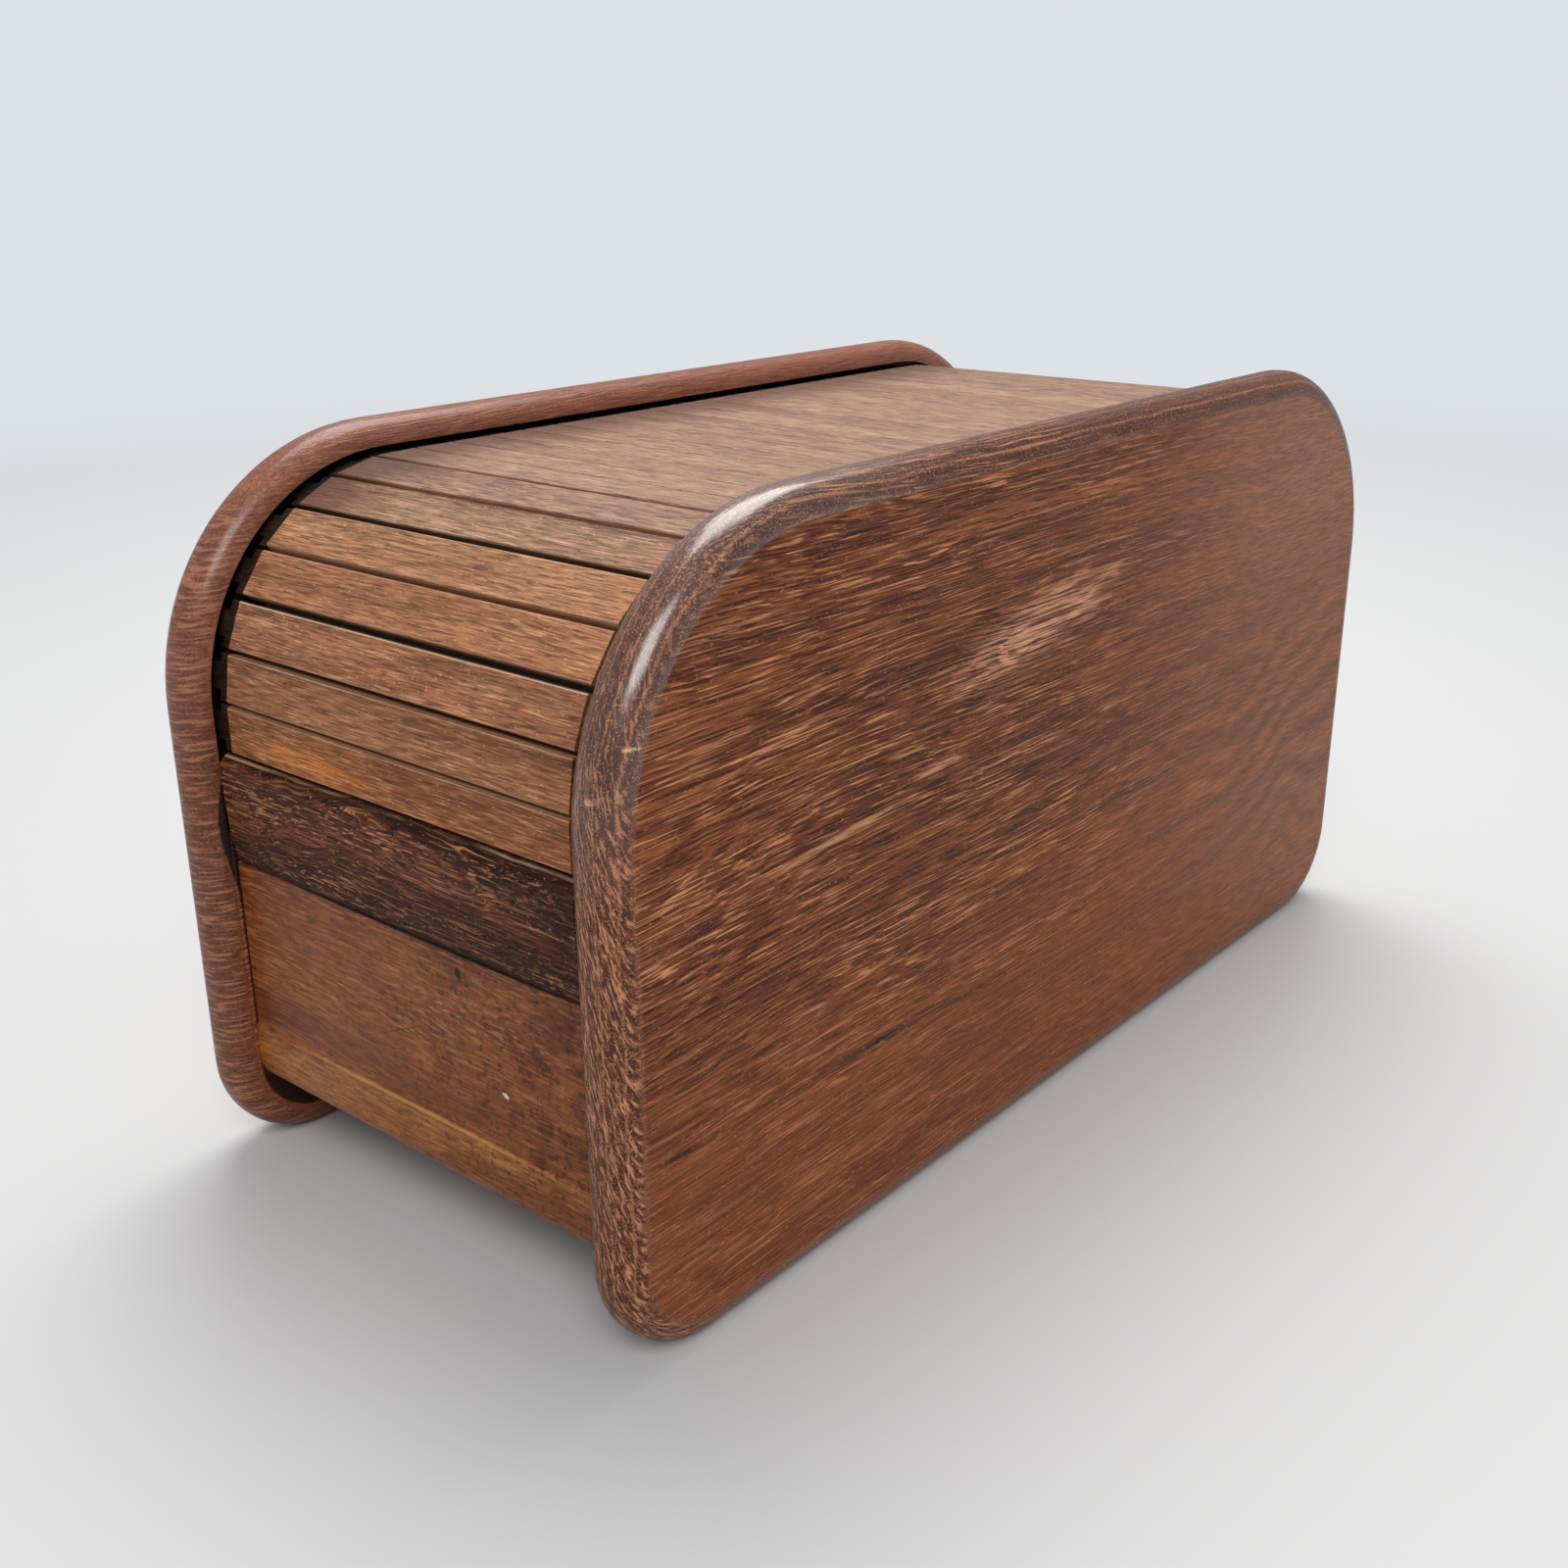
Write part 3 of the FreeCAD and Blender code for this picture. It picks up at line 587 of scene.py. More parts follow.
    # growth rings run round the rounded edge as thin dotted lines
    bend = noise(tree, place, scale=wood["ringLumps"])
    sheet = calc(tree, "MULTIPLY_ADD", bend, wood["ringSway"], parts["X"])
    ring = calc(tree, "FRACT", calc(tree, "DIVIDE", sheet, wood["ringSpacing"]))
    ring = band(tree, ring, 0.5, wood["ringWidth"])
    dots = noise(tree, place, scale=wood["dotLumps"], detail=0.0)
    ring = times(tree, ring, remap(tree, dots, *levels["ringDots"], amounts["faintRing"], 1.0))
    ring = times(tree, times(tree, ring, onEdge), rounded["rings"])
    dots = times(tree, remap(tree, dots, *levels["dots"], smooth=True), onEdge)
    dots = times(tree, dots, rounded["dots"])
    colour = cover(tree, colour, calc(tree, "MAXIMUM", ring, dots), wood["crest"])
    # painted shade: the grooves and the wood beside them are painted nearly black, and a painted shadow
    # reaches further in beside the handle
    inner = remap(tree, calc(tree, "ABSOLUTE", parts["X"]), *ranges["inner"])
    byHandle = band(tree, parts["Z"], wood["handleLevel"], wood["handleReach"])
    byHandle = times(tree, byHandle, remap(tree, parts["Y"], *ranges["byHandle"]))
    rim = calc(tree, "MULTIPLY_ADD", byHandle, -wood["handleRim"], wood["trackRim"])
    beyondRim = remap(tree, calc(tree, "SUBTRACT", edge, rim), *ranges["trackOuter"])
    track = times(tree, inner, beyondRim)
    track = times(tree, track, remap(tree, edge, *ranges["trackInner"]))
    colour = layOver(tree, colour, track, amounts["track"], wood["hidden"])

    roughness = remap(tree, grain["Figure"], *levels["gloss"], *wood["roughness"])
    roughness = calc(tree, "SUBTRACT", roughness, times(tree, onEdge, amounts["edgeGloss"]))
    polish = (amounts["lowPolish"], rounded["polish"])
    polish = times(tree, onEdge, remap(tree, parts["Z"], *ranges["polishUp"], *polish, smooth=True))
    back = remap(tree, parts["Y"], *ranges["polishBack"], 1.0, amounts["backPolish"], smooth=True)
    tree.links.new(times(tree, polish, back), shader.inputs["Coat Weight"])
    shader.inputs["Coat Roughness"].default_value = wood["coatRoughness"]
    shader.inputs["Coat IOR"].default_value = wood["coatIor"]
    height = calc(tree, "MULTIPLY_ADD", grain["Relief"], strong, carved)
    height = sinkPores(tree, height, grain, amounts["poreDepth"])
    finishWood(tree, shader, colour, roughness, height, wood["bump"])
    return material


# Slats: each of its own board and tone, with dark rebated ends.
slatWood = {
    "brown": (132, 84, 60),
    "light": (168, 119, 88),
    "dark": (62, 36, 27),
    "end": (14, 11, 10),
    "crest": (212, 166, 128),
    "grime": (62, 45, 39),
    "arrisGlint": (222, 190, 158),
    "jointLight": (172, 126, 96),
    "topRunSheen": (168, 138, 118),
    "shade": (84, 52, 40),
    "hairs": 0.24,
    "halfWidth": 0.00635,
    "shownHalfLength": 0.0639,
    "endBlur": 0.0002,
    "rimInset": 0.00036,
    "rimWidth": 0.00024,
    "bevelInsets": (0.00030, 0.00020),
    "jointInset": 0.00002,
    "smear": (14.0, 120.0),
    "grain": {"Ring Spacing": 0.0030, "Waver": 0.010, "Line Length": 0.0080, "Line Spacing": 0.00046},
    "seed": 7,
    "offsetReach": 9,
    "pithAside": 0.02,
    "pithDepths": (0.012, 0.05),
    "topFrom": 7,
    "shadeFrom": 6,
    "shadeReach": (-0.032, -0.004),
    "shadeFull": -0.060,
    "smearReach": 0.009,
    "levels": {"figure": (0.32, 0.68), "smear": (0.42, 0.64), "rim": (0.36, 0.56), "gloss": (0.3, 0.7)},
    "amounts": {
        "topRunSheen": 0.6, "rings": 0.30, "gaps": 0.44, "crests": 0.52, "leastSmear": 0.25, "pores": 0.38,
        "flecks": 0.5, "bevel": 0.45, "lowerArris": 0.25, "leastRim": 0.3, "shade": 0.80, "end": 0.94,
        "smearRoughness": 0.2, "poreDepth": 0.35,
    },
    "roughness": (0.38, 0.50),
    "bump": {"strength": 0.65, "depth": 0.0004},
}

# For the slats by the front bend: tint over the wood, grime (more of it along the upper edge), how dark
# the faces of the joints below and above are, and how strong the painted highlight on the upper arris is.
slatTones = {
    1: {"tint": (0.96, 0.68, 0.41), "grime": 0.35, "below": 0.7, "above": 0.10, "arris": 0.35},
    2: {"tint": (1.02, 0.87, 0.68), "grime": 0.80, "below": 0.20, "above": 0.10, "arris": 0.55},
    3: {"tint": (1.34, 1.20, 1.08), "grime": 0.65, "below": 0.20, "above": 0.50, "arris": 0.95},
    4: {"tint": (1.38, 1.28, 1.14), "grime": 0.50, "below": 0.45, "above": 0.00, "arris": 0.30},
    5: {"tint": (1.40, 1.48, 1.36), "grime": 0.30, "below": 0.00, "above": 0.60, "arris": 0.45},
    6: {"tint": (1.08, 1.30, 1.48), "grime": 0.55, "below": 0.80, "above": 0.00, "arris": 0.20},
    7: {"tint": (0.98, 0.98, 0.98), "grime": 0.45, "below": 0.40, "above": 0.40, "arris": 0.20},
}

# a warm place that runs over the first two slats
slatMarks = {
    1: {"honey": {"centre": (-0.029, -0.1770, 0.1268), "half": (0.042, 0.014, 0.0085),
                  "colour": (208, 124, 50), "strength": 0.90, "ragged": 0.6, "soft": 0.95}},
    2: {"honey": {"centre": (-0.034, -0.1750, 0.1330), "half": (0.030, 0.012, 0.0035),
                  "colour": (186, 108, 50), "strength": 0.5, "ragged": 0.7, "soft": 0.95}},
}


# A slat's own axes: X along it, Y along the curtain's travel and Z out of the box.
def slatPlace(node):
    mesh = frame["nodes"][node].data
    inner = max(mesh.polygons, key=lambda face: face.area)
    outward = -inner.normal
    angle = math.atan2(-outward.y, outward.z)
    turn = Matrix.Rotation(angle, 3, "X")
    local = [turn.transposed() @ vertex.co for vertex in mesh.vertices]
    lows = [min(point[axis] for point in local) for axis in range(3)]
    highs = [max(point[axis] for point in local) for axis in range(3)]
    middle = Vector([(low + high) / 2 for low, high in zip(lows, highs)])
    middle.z = lows[2]
    return turn @ middle, angle


# ranges that a slat's own shade, warmth and grime are drawn from
slatChances = {"shade": (0.94, 1.08), "warmth": (0.94, 1.03), "grime": (0.05, 0.30)}
plainJoint = {"below": 0.40, "above": 0.40, "arris": 0.15}


def slatTone(number, chance):
    shade = chance.uniform(*slatChances["shade"])
    warmth = chance.uniform(*slatChances["warmth"])
    grime = chance.uniform(*slatChances["grime"])
    plain = {"tint": (shade, shade, shade * warmth), "grime": grime, **plainJoint}
    return slatTones.get(number, plain)


def slatFinish(number, chance):
    node = f"slat_{number:02d}"
    material, tree, shader = newMaterial(f"teak {node}")
    wood = slatWood
    levels = wood["levels"]
    amounts = wood["amounts"]
    half = wood["halfWidth"]
    centre, angle = slatPlace(node)
    place, local = woodCoordinates(tree, location=centre, rotation=(angle, 0, 0), kind="TEXTURE")
    offset = tuple(chance.uniform(-wood["offsetReach"], wood["offsetReach"]) for _ in range(3))
    pithAside = chance.uniform(-wood["pithAside"], wood["pithAside"])
    pith = (0.0, pithAside, chance.uniform(*wood["pithDepths"]) * chance.choice((-1, 1)))
    fromPith = vectorCalc(tree, "ADD", local, pith)
    grain = useGroup(tree, "grain", {"Vector": fromPith, "Offset": offset, **wood["grain"]})
    parts = splitAxes(tree, local)
    tone = slatTone(number, chance)

    colour = startColour(tree, grain, levels, wood)
    # painted sheen: the slats of the top run are painted lighter and greyer
    if number >= wood["topFrom"]:
        colour = cover(tree, colour, amounts["topRunSheen"], wood["topRunSheen"])
    colour = shadeBy(tree, colour, (*tone["tint"], 1.0))
    colour = applyMarks(tree, place, colour, grain["Relief"], slatMarks.get(number, {}))
    colour = layOver(tree, colour, grain["Rings"], amounts["rings"], wood["dark"])
    # raised grain: the wood's own pale lines and dark gaps, in part a painted highlight on the crests and
    # painted shade in the gaps
    colour = layOver(tree, colour, grain["Gaps"], amounts["gaps"], wood["dark"])
    colour = layOver(tree, colour, grain["Crests"], amounts["crests"], wood["crest"])
    fromEdge = calc(tree, "SUBTRACT", half, parts["Y"])
    moved = vectorCalc(tree, "ADD", local, offset)
    smear = stretchedNoise(tree, moved, *wood["smear"], detail=3.0, roughness=0.55)
    smear = remap(tree, smear, *levels["smear"], smooth=True)
    nearEdge = remap(tree, fromEdge, wood["smearReach"], 0.0, amounts["leastSmear"], 1.0)
    smear = times(tree, smear, nearEdge)
    colour = layOver(tree, colour, smear, tone["grime"], wood["grime"])
    colour = layOver(tree, colour, grain["Pores"], amounts["pores"], wood["dark"])
    colour = layOver(tree, colour, grain["Flecks"], amounts["flecks"], wood["crest"])
    colour = hairLines(tree, colour, grain, wood["hairs"])
    # painted shade darkens the bevel, and a painted highlight runs as a pale line along its arris
    across = calc(tree, "ABSOLUTE", parts["Y"])
    rim = band(tree, across, half - wood["rimInset"], wood["rimWidth"])
    bevelAt = [half - inset for inset in wood["bevelInsets"]]
    bevel = remap(tree, across, *bevelAt, 0.0, amounts["bevel"])
    colour = cover(tree, colour, bevel, wood["dark"])
    isAbove = calc(tree, "GREATER_THAN", parts["Y"], 0.0)
    glintShare = between(tree, isAbove, amounts["lowerArris"], tone["arris"])
    patchy = remap(tree, grain["Figure"], *levels["rim"], amounts["leastRim"], 1.0)
    rim = times(tree, rim, times(tree, glintShare, patchy))
    colour = cover(tree, colour, rim, wood["arrisGlint"])
    # painted light: the faces inside the joints are painted paler, against the shade in the narrow gaps
    inJoint = calc(tree, "GREATER_THAN", across, half - wood["jointInset"])
    colour = cover(tree, colour, inJoint, wood["jointLight"])
    if number >= wood["shadeFrom"]:
        # painted shadow of the left panel, on the slats beside it
        reach = between(tree, smear, *wood["shadeReach"])
        shade = remap(tree, parts["X"], reach, wood["shadeFull"], 0.0, amounts["shade"], smooth=True)
        colour = cover(tree, colour, shade, wood["shade"])
    inJoint = times(tree, inJoint, between(tree, isAbove, tone["below"], tone["above"]))
    length = calc(tree, "ABSOLUTE", parts["X"])
    shown = wood["shownHalfLength"]
    atEnd = remap(tree, length, shown - wood["endBlur"], shown + wood["endBlur"])
    hidden = calc(tree, "MAXIMUM", inJoint, times(tree, atEnd, amounts["end"]))
    colour = cover(tree, colour, hidden, wood["end"])

    roughness = remap(tree, grain["Figure"], *levels["gloss"], *wood["roughness"])
    roughness = calc(tree, "ADD", roughness, times(tree, smear, amounts["smearRoughness"]))
    height = sinkPores(tree, grain["Relief"], grain, amounts["poreDepth"])
    finishWood(tree, shader, colour, roughness, height, wood["bump"])
    return material


# Handle bar: dark wood with a swirl in its face, painted shade in the cove below, a painted shadow line along
# its foot and a pale rubbed line at the top.
# Its "heights", and the arris's place and width, are shares of the bar's height.
handleWood = {
    "brown": (82, 38, 20),
    "light": (124, 66, 38),
    "dark": (26, 12, 8),
    "crest": (196, 134, 94),
    "worn": (178, 140, 112),
    "hairs": 0.25,
    "grain": {"Ring Spacing": 0.0019, "Waver": 0.075, "Line Length": 0.018, "Line Spacing": 0.00048},
    "pith": (0.0, 0.030, -0.108),
    "grainOffset": (3.1, 0.4, 1.7),
    "arris": 0.984,
    "arrisWidth": 0.012,
    "fallFrom": -0.010,
    "fallTo": 0.069,
    "fall": 0.020,
    "fallLumps": (26.0, 60.0),
    "fallWaver": 0.006,
    "shadeFrom": 0.1185,
    "shadeTo": 0.1215,
    "bandSpacing": 0.0036,
    "bandDepth": 0.16,
    "heights": {"cove": (0.36, 0.24), "foot": (0.06, 0.02), "top": (0.93, 0.97)},
    "levels": {"figure": (0.38, 0.64), "rubbed": (0.46, 0.60), "gloss": (0.3, 0.7)},
    "amounts": {
        "above": 0.62, "rings": 0.75, "gaps": 0.75, "cove": 0.55, "crests": 0.70, "flecks": 0.5,
        "foot": 0.85, "leastRubbed": 0.05, "mostRubbed": 0.9, "top": 0.45, "poreDepth": 0.3,
    },
    "roughness": (0.42, 0.56),
    "bump": {"strength": 1.0, "depth": 0.0008, "gloss": 0.12},
}

handleMarks = {
    "swirl": {"centre": (0.020, -0.1830, 0.1085), "half": (0.036, 0.02, 0.0050), "colour": (150, 98, 70),
              "strength": 0.55, "ragged": 1.3, "soft": 0.9, "lines": 0.6, "turn": -0.05, "flat": "Y"},
    "figure": {"centre": (0.046, -0.1830, 0.1110), "half": (0.020, 0.02, 0.0028), "colour": (176, 128, 98),
               "strength": 0.5, "ragged": 1.2, "soft": 0.9, "lines": 0.6, "turn": -0.16, "flat": "Y"},
    "knot shade": {"centre": (0.034, -0.1830, 0.1020), "half": (0.022, 0.02, 0.0034), "colour": (32, 18, 15),
                   "strength": 0.6, "ragged": 1.2, "soft": 0.9, "turn": -0.10, "flat": "Y"},
}


def handleFinish():
    material, tree, shader = newMaterial("teak handle")
    wood = handleWood
    heights = wood["heights"]
    levels = wood["levels"]
    amounts = wood["amounts"]
    low, high = (corner[2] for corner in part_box("handle_bar"))
    place, turned = woodCoordinates(tree, location=wood["pith"])
    grain = useGroup(tree, "grain", {"Vector": turned, "Offset": wood["grainOffset"], **wood["grain"]})
    parts = splitAxes(tree, place)
    level = remap(tree, parts["Z"], low, high)    # 0 at the bar's foot, 1 at its top
    colour = startColour(tree, grain, levels, wood)
    colour = applyMarks(tree, place, colour, grain["Relief"], handleMarks)
    # the figure falls away towards the right end and is darker above the fall
    along = remap(tree, parts["X"], wood["fallFrom"], wood["fallTo"])
    fall = times(tree, times(tree, along, along), wood["fall"])
    fallen = calc(tree, "ADD", parts["Z"], fall)
    waver = stretchedNoise(tree, place, *wood["fallLumps"], detail=3.0)
    fallen = calc(tree, "MULTIPLY_ADD", waver, wood["fallWaver"], fallen)
    fallen = calc(tree, "SUBTRACT", fallen, wood["fallWaver"] / 2)
    above = remap(tree, fallen, wood["shadeFrom"], wood["shadeTo"], 0.0, amounts["above"], smooth=True)
    colour = cover(tree, colour, above, wood["dark"])
    bands = calc(tree, "SINE", times(tree, fallen, math.tau / wood["bandSpacing"]))
    bands = calc(tree, "MULTIPLY_ADD", bands, wood["bandDepth"], 1.0)
    colour = shadeBy(tree, colour, bands)
    colour = layOver(tree, colour, grain["Rings"], amounts["rings"], wood["dark"])
    colour = layOver(tree, colour, grain["Gaps"], amounts["gaps"], wood["dark"])
    # painted shade in the downward-facing cove
    cove = remap(tree, level, *heights["cove"], 0.0, amounts["cove"], smooth=True)
    colour = cover(tree, colour, cove, wood["dark"])
    colour = layOver(tree, colour, grain["Crests"], amounts["crests"], wood["crest"])
    colour = layOver(tree, colour, grain["Flecks"], amounts["flecks"], wood["worn"])
    colour = hairLines(tree, colour, grain, wood["hairs"])
    # painted shadow line along the bar's foot, above the front board
    foot = remap(tree, level, *heights["foot"], 0.0, amounts["foot"])
    colour = cover(tree, colour, foot, wood["dark"])
    rubbed = band(tree, level, wood["arris"], wood["arrisWidth"])
    patchy = (amounts["leastRubbed"], amounts["mostRubbed"])
    patchy = remap(tree, grain["Figure"], *levels["rubbed"], *patchy, smooth=True)
    rubbed = times(tree, rubbed, patchy)
    top = remap(tree, level, *heights["top"], 0.0, amounts["top"])
    colour = cover(tree, colour, top, wood["dark"])
    colour = cover(tree, colour, rubbed, wood["worn"])
    roughness = remap(tree, grain["Figure"], *levels["gloss"], *wood["roughness"])
    height = sinkPores(tree, grain["Relief"], grain, amounts["poreDepth"])
    finishWood(tree, shader, colour, roughness, height, wood["bump"])
    return material


# Front board and front rail: warmer, smoother wood, mottled more towards the right.
frontWood = {
    "board": {"brown": (126, 65, 27), "light": (154, 88, 42), "mottle": (84, 38, 22), "amount": 0.85},
    # the rail's paler, more orange tone is partly its own and partly painted light bounced up from the floor
    "rail": {"brown": (126, 68, 28), "light": (166, 102, 48), "mottle": (98, 50, 24), "amount": 0.40},
    "dark": (56, 30, 20),
    "worn": (206, 150, 96),
    "hairs": 0.20,
    "grain": {"Ring Spacing": 0.006, "Waver": 0.030, "Line Length": 0.010, "Line Spacing": 0.0007},
    "pith": (0.0, 0.12, -0.03),
    "right": (-0.03, 0.05),
    "broadLumps": 75.0,
    "speckleLumps": 520.0,
    "levels": {"figure": (0.36, 0.64), "blotch": (0.42, 0.64), "speckle": (0.52, 0.64)},
    "amounts": {
        "rings": 0.25, "leftMottle": 0.45, "speckle": 0.70, "gaps": 0.28, "crests": 0.28, "pores": 0.35,
        "poreDepth": 0.3,
    },
    "roughness": (0.38, 0.52),
    "bump": {"strength": 0.25, "depth": 0.0003},
}

boardMarks = {
    "shaded top edge": {"centre": (0.010, -0.1782, 0.0896), "half": (0.075, 0.004, 0.0010),
                        "colour": (28, 14, 10), "strength": 0.90, "ragged": 0.5, "soft": 0.5, "flat": "Y"},
    "nick": {"centre": (0.0210, -0.1782, 0.0841), "half": (0.0013, 0.004, 0.0019), "colour": (22, 14, 12),
             "strength": 0.95, "ragged": 0.4, "soft": 0.3, "turn": 0.3, "flat": "Y"},
    "fleck": {"centre": (0.0355, -0.1782, 0.0563), "half": (0.0015, 0.004, 0.0007), "colour": (226, 214, 200),
              "strength": 0.9, "ragged": 1.4, "soft": 0.3, "turn": -0.5, "flat": "Y"},
    "fleck shade": {"centre": (0.0348, -0.1782, 0.0572), "half": (0.0009, 0.004, 0.0006),
                    "colour": (38, 24, 20), "strength": 0.8, "ragged": 0.8, "soft": 0.5, "flat": "Y"},
    "red specks": {"centre": (0.0540, -0.1782, 0.0800), "half": (0.012, 0.004, 0.0060),
                   "colour": (70, 26, 18), "strength": 0.5, "ragged": 2.0, "soft": 0.6, "flat": "Y"},
    "long crack": {"centre": (-0.0020, -0.1782, 0.0615), "half": (0.026, 0.004, 0.0004),
                   "colour": (58, 30, 20),
                   "strength": 0.55, "ragged": 0.4, "soft": 0.9, "turn": 0.42, "flat": "Y"},
}

railMarks = {
    # painted highlight along the rail's upper front arris
    "arris highlight": {"centre": (0.0, -0.1788, 0.0403), "half": (0.067, 0.003, 0.0006), "colour": (200, 146, 96),
                   "strength": 0.6, "ragged": 0.5, "soft": 0.7, "flat": "Y"},
}


def frontFinish(name, tones, offset, marks):
    material, tree, shader = newMaterial(name)
    wood = frontWood
    levels = wood["levels"]
    amounts = wood["amounts"]
    place, turned = woodCoordinates(tree, location=wood["pith"])
    grain = useGroup(tree, "grain", {"Vector": turned, "Offset": offset, **wood["grain"]})
    parts = splitAxes(tree, place)
    colour = startColour(tree, grain, levels, tones)
    colour = layOver(tree, colour, grain["Rings"], amounts["rings"], wood["dark"])
    rightness = remap(tree, parts["X"], *wood["right"], amounts["leftMottle"], 1.0, smooth=True)
    broad = noise(tree, place, scale=wood["broadLumps"], detail=7.0, roughness=0.80)
    blotch = times(tree, remap(tree, broad, *levels["blotch"]), rightness)
    colour = layOver(tree, colour, blotch, tones["amount"], tones["mottle"])
    speckle = noise(tree, place, scale=wood["speckleLumps"], detail=3.0, roughness=0.6)
    speckle = times(tree, remap(tree, speckle, *levels["speckle"], smooth=True), rightness)
    colour = layOver(tree, colour, speckle, amounts["speckle"], wood["dark"])
    colour = hairLines(tree, colour, grain, wood["hairs"])
    colour = layOver(tree, colour, grain["Gaps"], amounts["gaps"], wood["dark"])
    colour = layOver(tree, colour, grain["Crests"], amounts["crests"], wood["worn"])
    colour = layOver(tree, colour, grain["Pores"], amounts["pores"], wood["dark"])
    colour = applyMarks(tree, place, colour, grain["Relief"], marks)
    roughness = between(tree, blotch, *wood["roughness"])
    height = sinkPores(tree, grain["Relief"], grain, amounts["poreDepth"])
    finishWood(tree, shader, colour, roughness, height, wood["bump"])
    return material


# Thin boards inside and behind: dull teak.
thinWood = {
    "brown": (118, 74, 50),
    "light": (154, 106, 72),
    "dark": (66, 40, 30),
    "grain": {"Ring Spacing": 0.007, "Waver": 0.04, "Line Length": 0.030, "Line Spacing": 0.0016},
    "pith": (0.0, 0.1, -0.15),
    "cutStep": 2.0,
    "cut": (0.7, 0.3),
    "grime": {"Speckle": 700.0, "Cover": 0.3},
    "levels": {"figure": (0.36, 0.64), "gloss": (0.3, 0.7)},
    "amounts": {"rings": 0.40, "gaps": 0.35, "grime": 0.25, "poreDepth": 0.4},
    "roughness": (0.5, 0.66),
    "bump": {"strength": 0.25, "depth": 0.0003},
}


def thinBoardFinish(name, offset):
    material, tree, shader = newMaterial(name)
    wood = thinWood
    amounts = wood["amounts"]
    place, turned = woodCoordinates(tree, location=wood["pith"])
    grain = useGroup(tree, "grain", {"Vector": turned, "Offset": offset, **wood["grain"]})
    colour = startColour(tree, grain, wood["levels"], wood)
    colour = layOver(tree, colour, grain["Rings"], amounts["rings"], wood["dark"])
    colour = layOver(tree, colour, grain["Gaps"], amounts["gaps"], wood["dark"])
    grimy = useGroup(tree, "grime", {"Vector": place, **wood["grime"]})["Mask"]
    colour = layOver(tree, colour, grimy, amounts["grime"], wood["dark"])
    roughness = remap(tree, grain["Relief"], *wood["levels"]["gloss"], *wood["roughness"])
    height = sinkPores(tree, grain["Relief"], grain, amounts["poreDepth"])
    finishWood(tree, shader, colour, roughness, height, wood["bump"])
    return material


# Birch dowels, with the grain along them.
dowelWood = {
    "light": (206, 176, 132),
    "dark": (170, 134, 92),
    "grain": {"Ring Spacing": 0.0022, "Waver": 0.004, "Line Length": 0.008, "Line Spacing": 0.0008},
    "pith": (0.0, 0.03, 0.02),
    "glossLevels": (0.3, 0.7),
    "roughness": (0.5, 0.65),
    "bump": {"strength": 0.2, "depth": 0.0002},
}


def dowelFinish():
    material, tree, shader = newMaterial("birch dowel")
    wood = dowelWood
    turned = woodCoordinates(tree, location=wood["pith"])[1]
    grain = useGroup(tree, "grain", {"Vector": turned, **wood["grain"]})
    colour = blendColours(tree, grain["Figure"], paint(*wood["light"]), paint(*wood["dark"]))
    roughness = remap(tree, grain["Relief"], *wood["glossLevels"], *wood["roughness"])
    finishWood(tree, shader, colour, roughness, grain["Relief"], wood["bump"])
    return material


# Canvas glued behind the slats, cut at each joint so that every slat carries its own strip.
canvas = {
    "dark": (40, 36, 32),
    "light": (74, 68, 60),
    "between": (22, 20, 18),
    "width": 0.120,
    "thickness": 0.0005,
    "glue": 0.00002,
    "wornJointAfter": 3,
    "wornReach": 0.0005,
    "handleHem": 0.002,
    "columns": 12,
    "fadeLevels": (0.35, 0.65),
    "glossLevels": (0.3, 0.7),
    "threadLevels": (0.25, 0.0),
    "threadShade": 0.6,
    "roughness": (0.8, 0.95),
    "sheen": 0.15,
    "bump": {"strength": 0.6, "depth": 0.0002},
}


def canvasFinish():
    material, tree, shader = newMaterial("old canvas")
    place = addNode(tree, "ShaderNodeTexCoord").outputs["UV"]
    weave = useGroup(tree, "weave", {"Vector": place})
    fade = remap(tree, weave["Fade"], *canvas["fadeLevels"])
    colour = blendColours(tree, fade, paint(*canvas["dark"]), paint(*canvas["light"]))
    threads = remap(tree, weave["Height"], *canvas["threadLevels"], 0.0, canvas["threadShade"])
    colour = cover(tree, colour, threads, canvas["between"])
    roughness = remap(tree, weave["Fade"], *canvas["glossLevels"], *canvas["roughness"])
    finishSurface(tree, shader, colour, roughness, weave["Height"], canvas["bump"])
    shader.inputs["Sheen Weight"].default_value = canvas["sheen"]
    return material


def assign(node, material):
    for slot in frame["nodes"][node].material_slots:
        slot.material = material


# where in its wood each piece is cut
cuts = {
    "right panel": (0.0, 0.0, 0.0),
    "left panel": (4.3, 1.2, 2.6),
    "front board": (1.3, 0.2, 0.9),
    "front rail": (7.7, 3.2, 0.1),
}

chance = random.Random(slatWood["seed"])
slatNodes = sorted(name for name in frame["nodes"] if name.startswith("slat_"))
assign("side_panel_right", panelFinish("teak right panel", 1, cuts["right panel"], rightMarks))
assign("side_panel_left", panelFinish("teak left panel", -1, cuts["left panel"], {}))
for slatNode in slatNodes:
    assign(slatNode, slatFinish(int(slatNode[-2:]), chance))
assign("handle_bar", handleFinish())
frontBoard = frontFinish("teak front board", frontWood["board"], cuts["front board"], boardMarks)
assign("front_board", frontBoard)
frontRail = frontFinish("teak front rail", frontWood["rail"], cuts["front rail"], railMarks)
assign("front_rail", frontRail)
for number, board in enumerate(("bottom_board", "inner_floor", "inner_back", "back_board")):
    cut = (thinWood["cutStep"] * number, *thinWood["cut"])
    assign(board, thinBoardFinish(f"oiled {board}", cut))
birch = dowelFinish()
assign("front_board_dowels", birch)
assign("front_rail_dowels", birch)
print("finishes given to the frame's nodes")


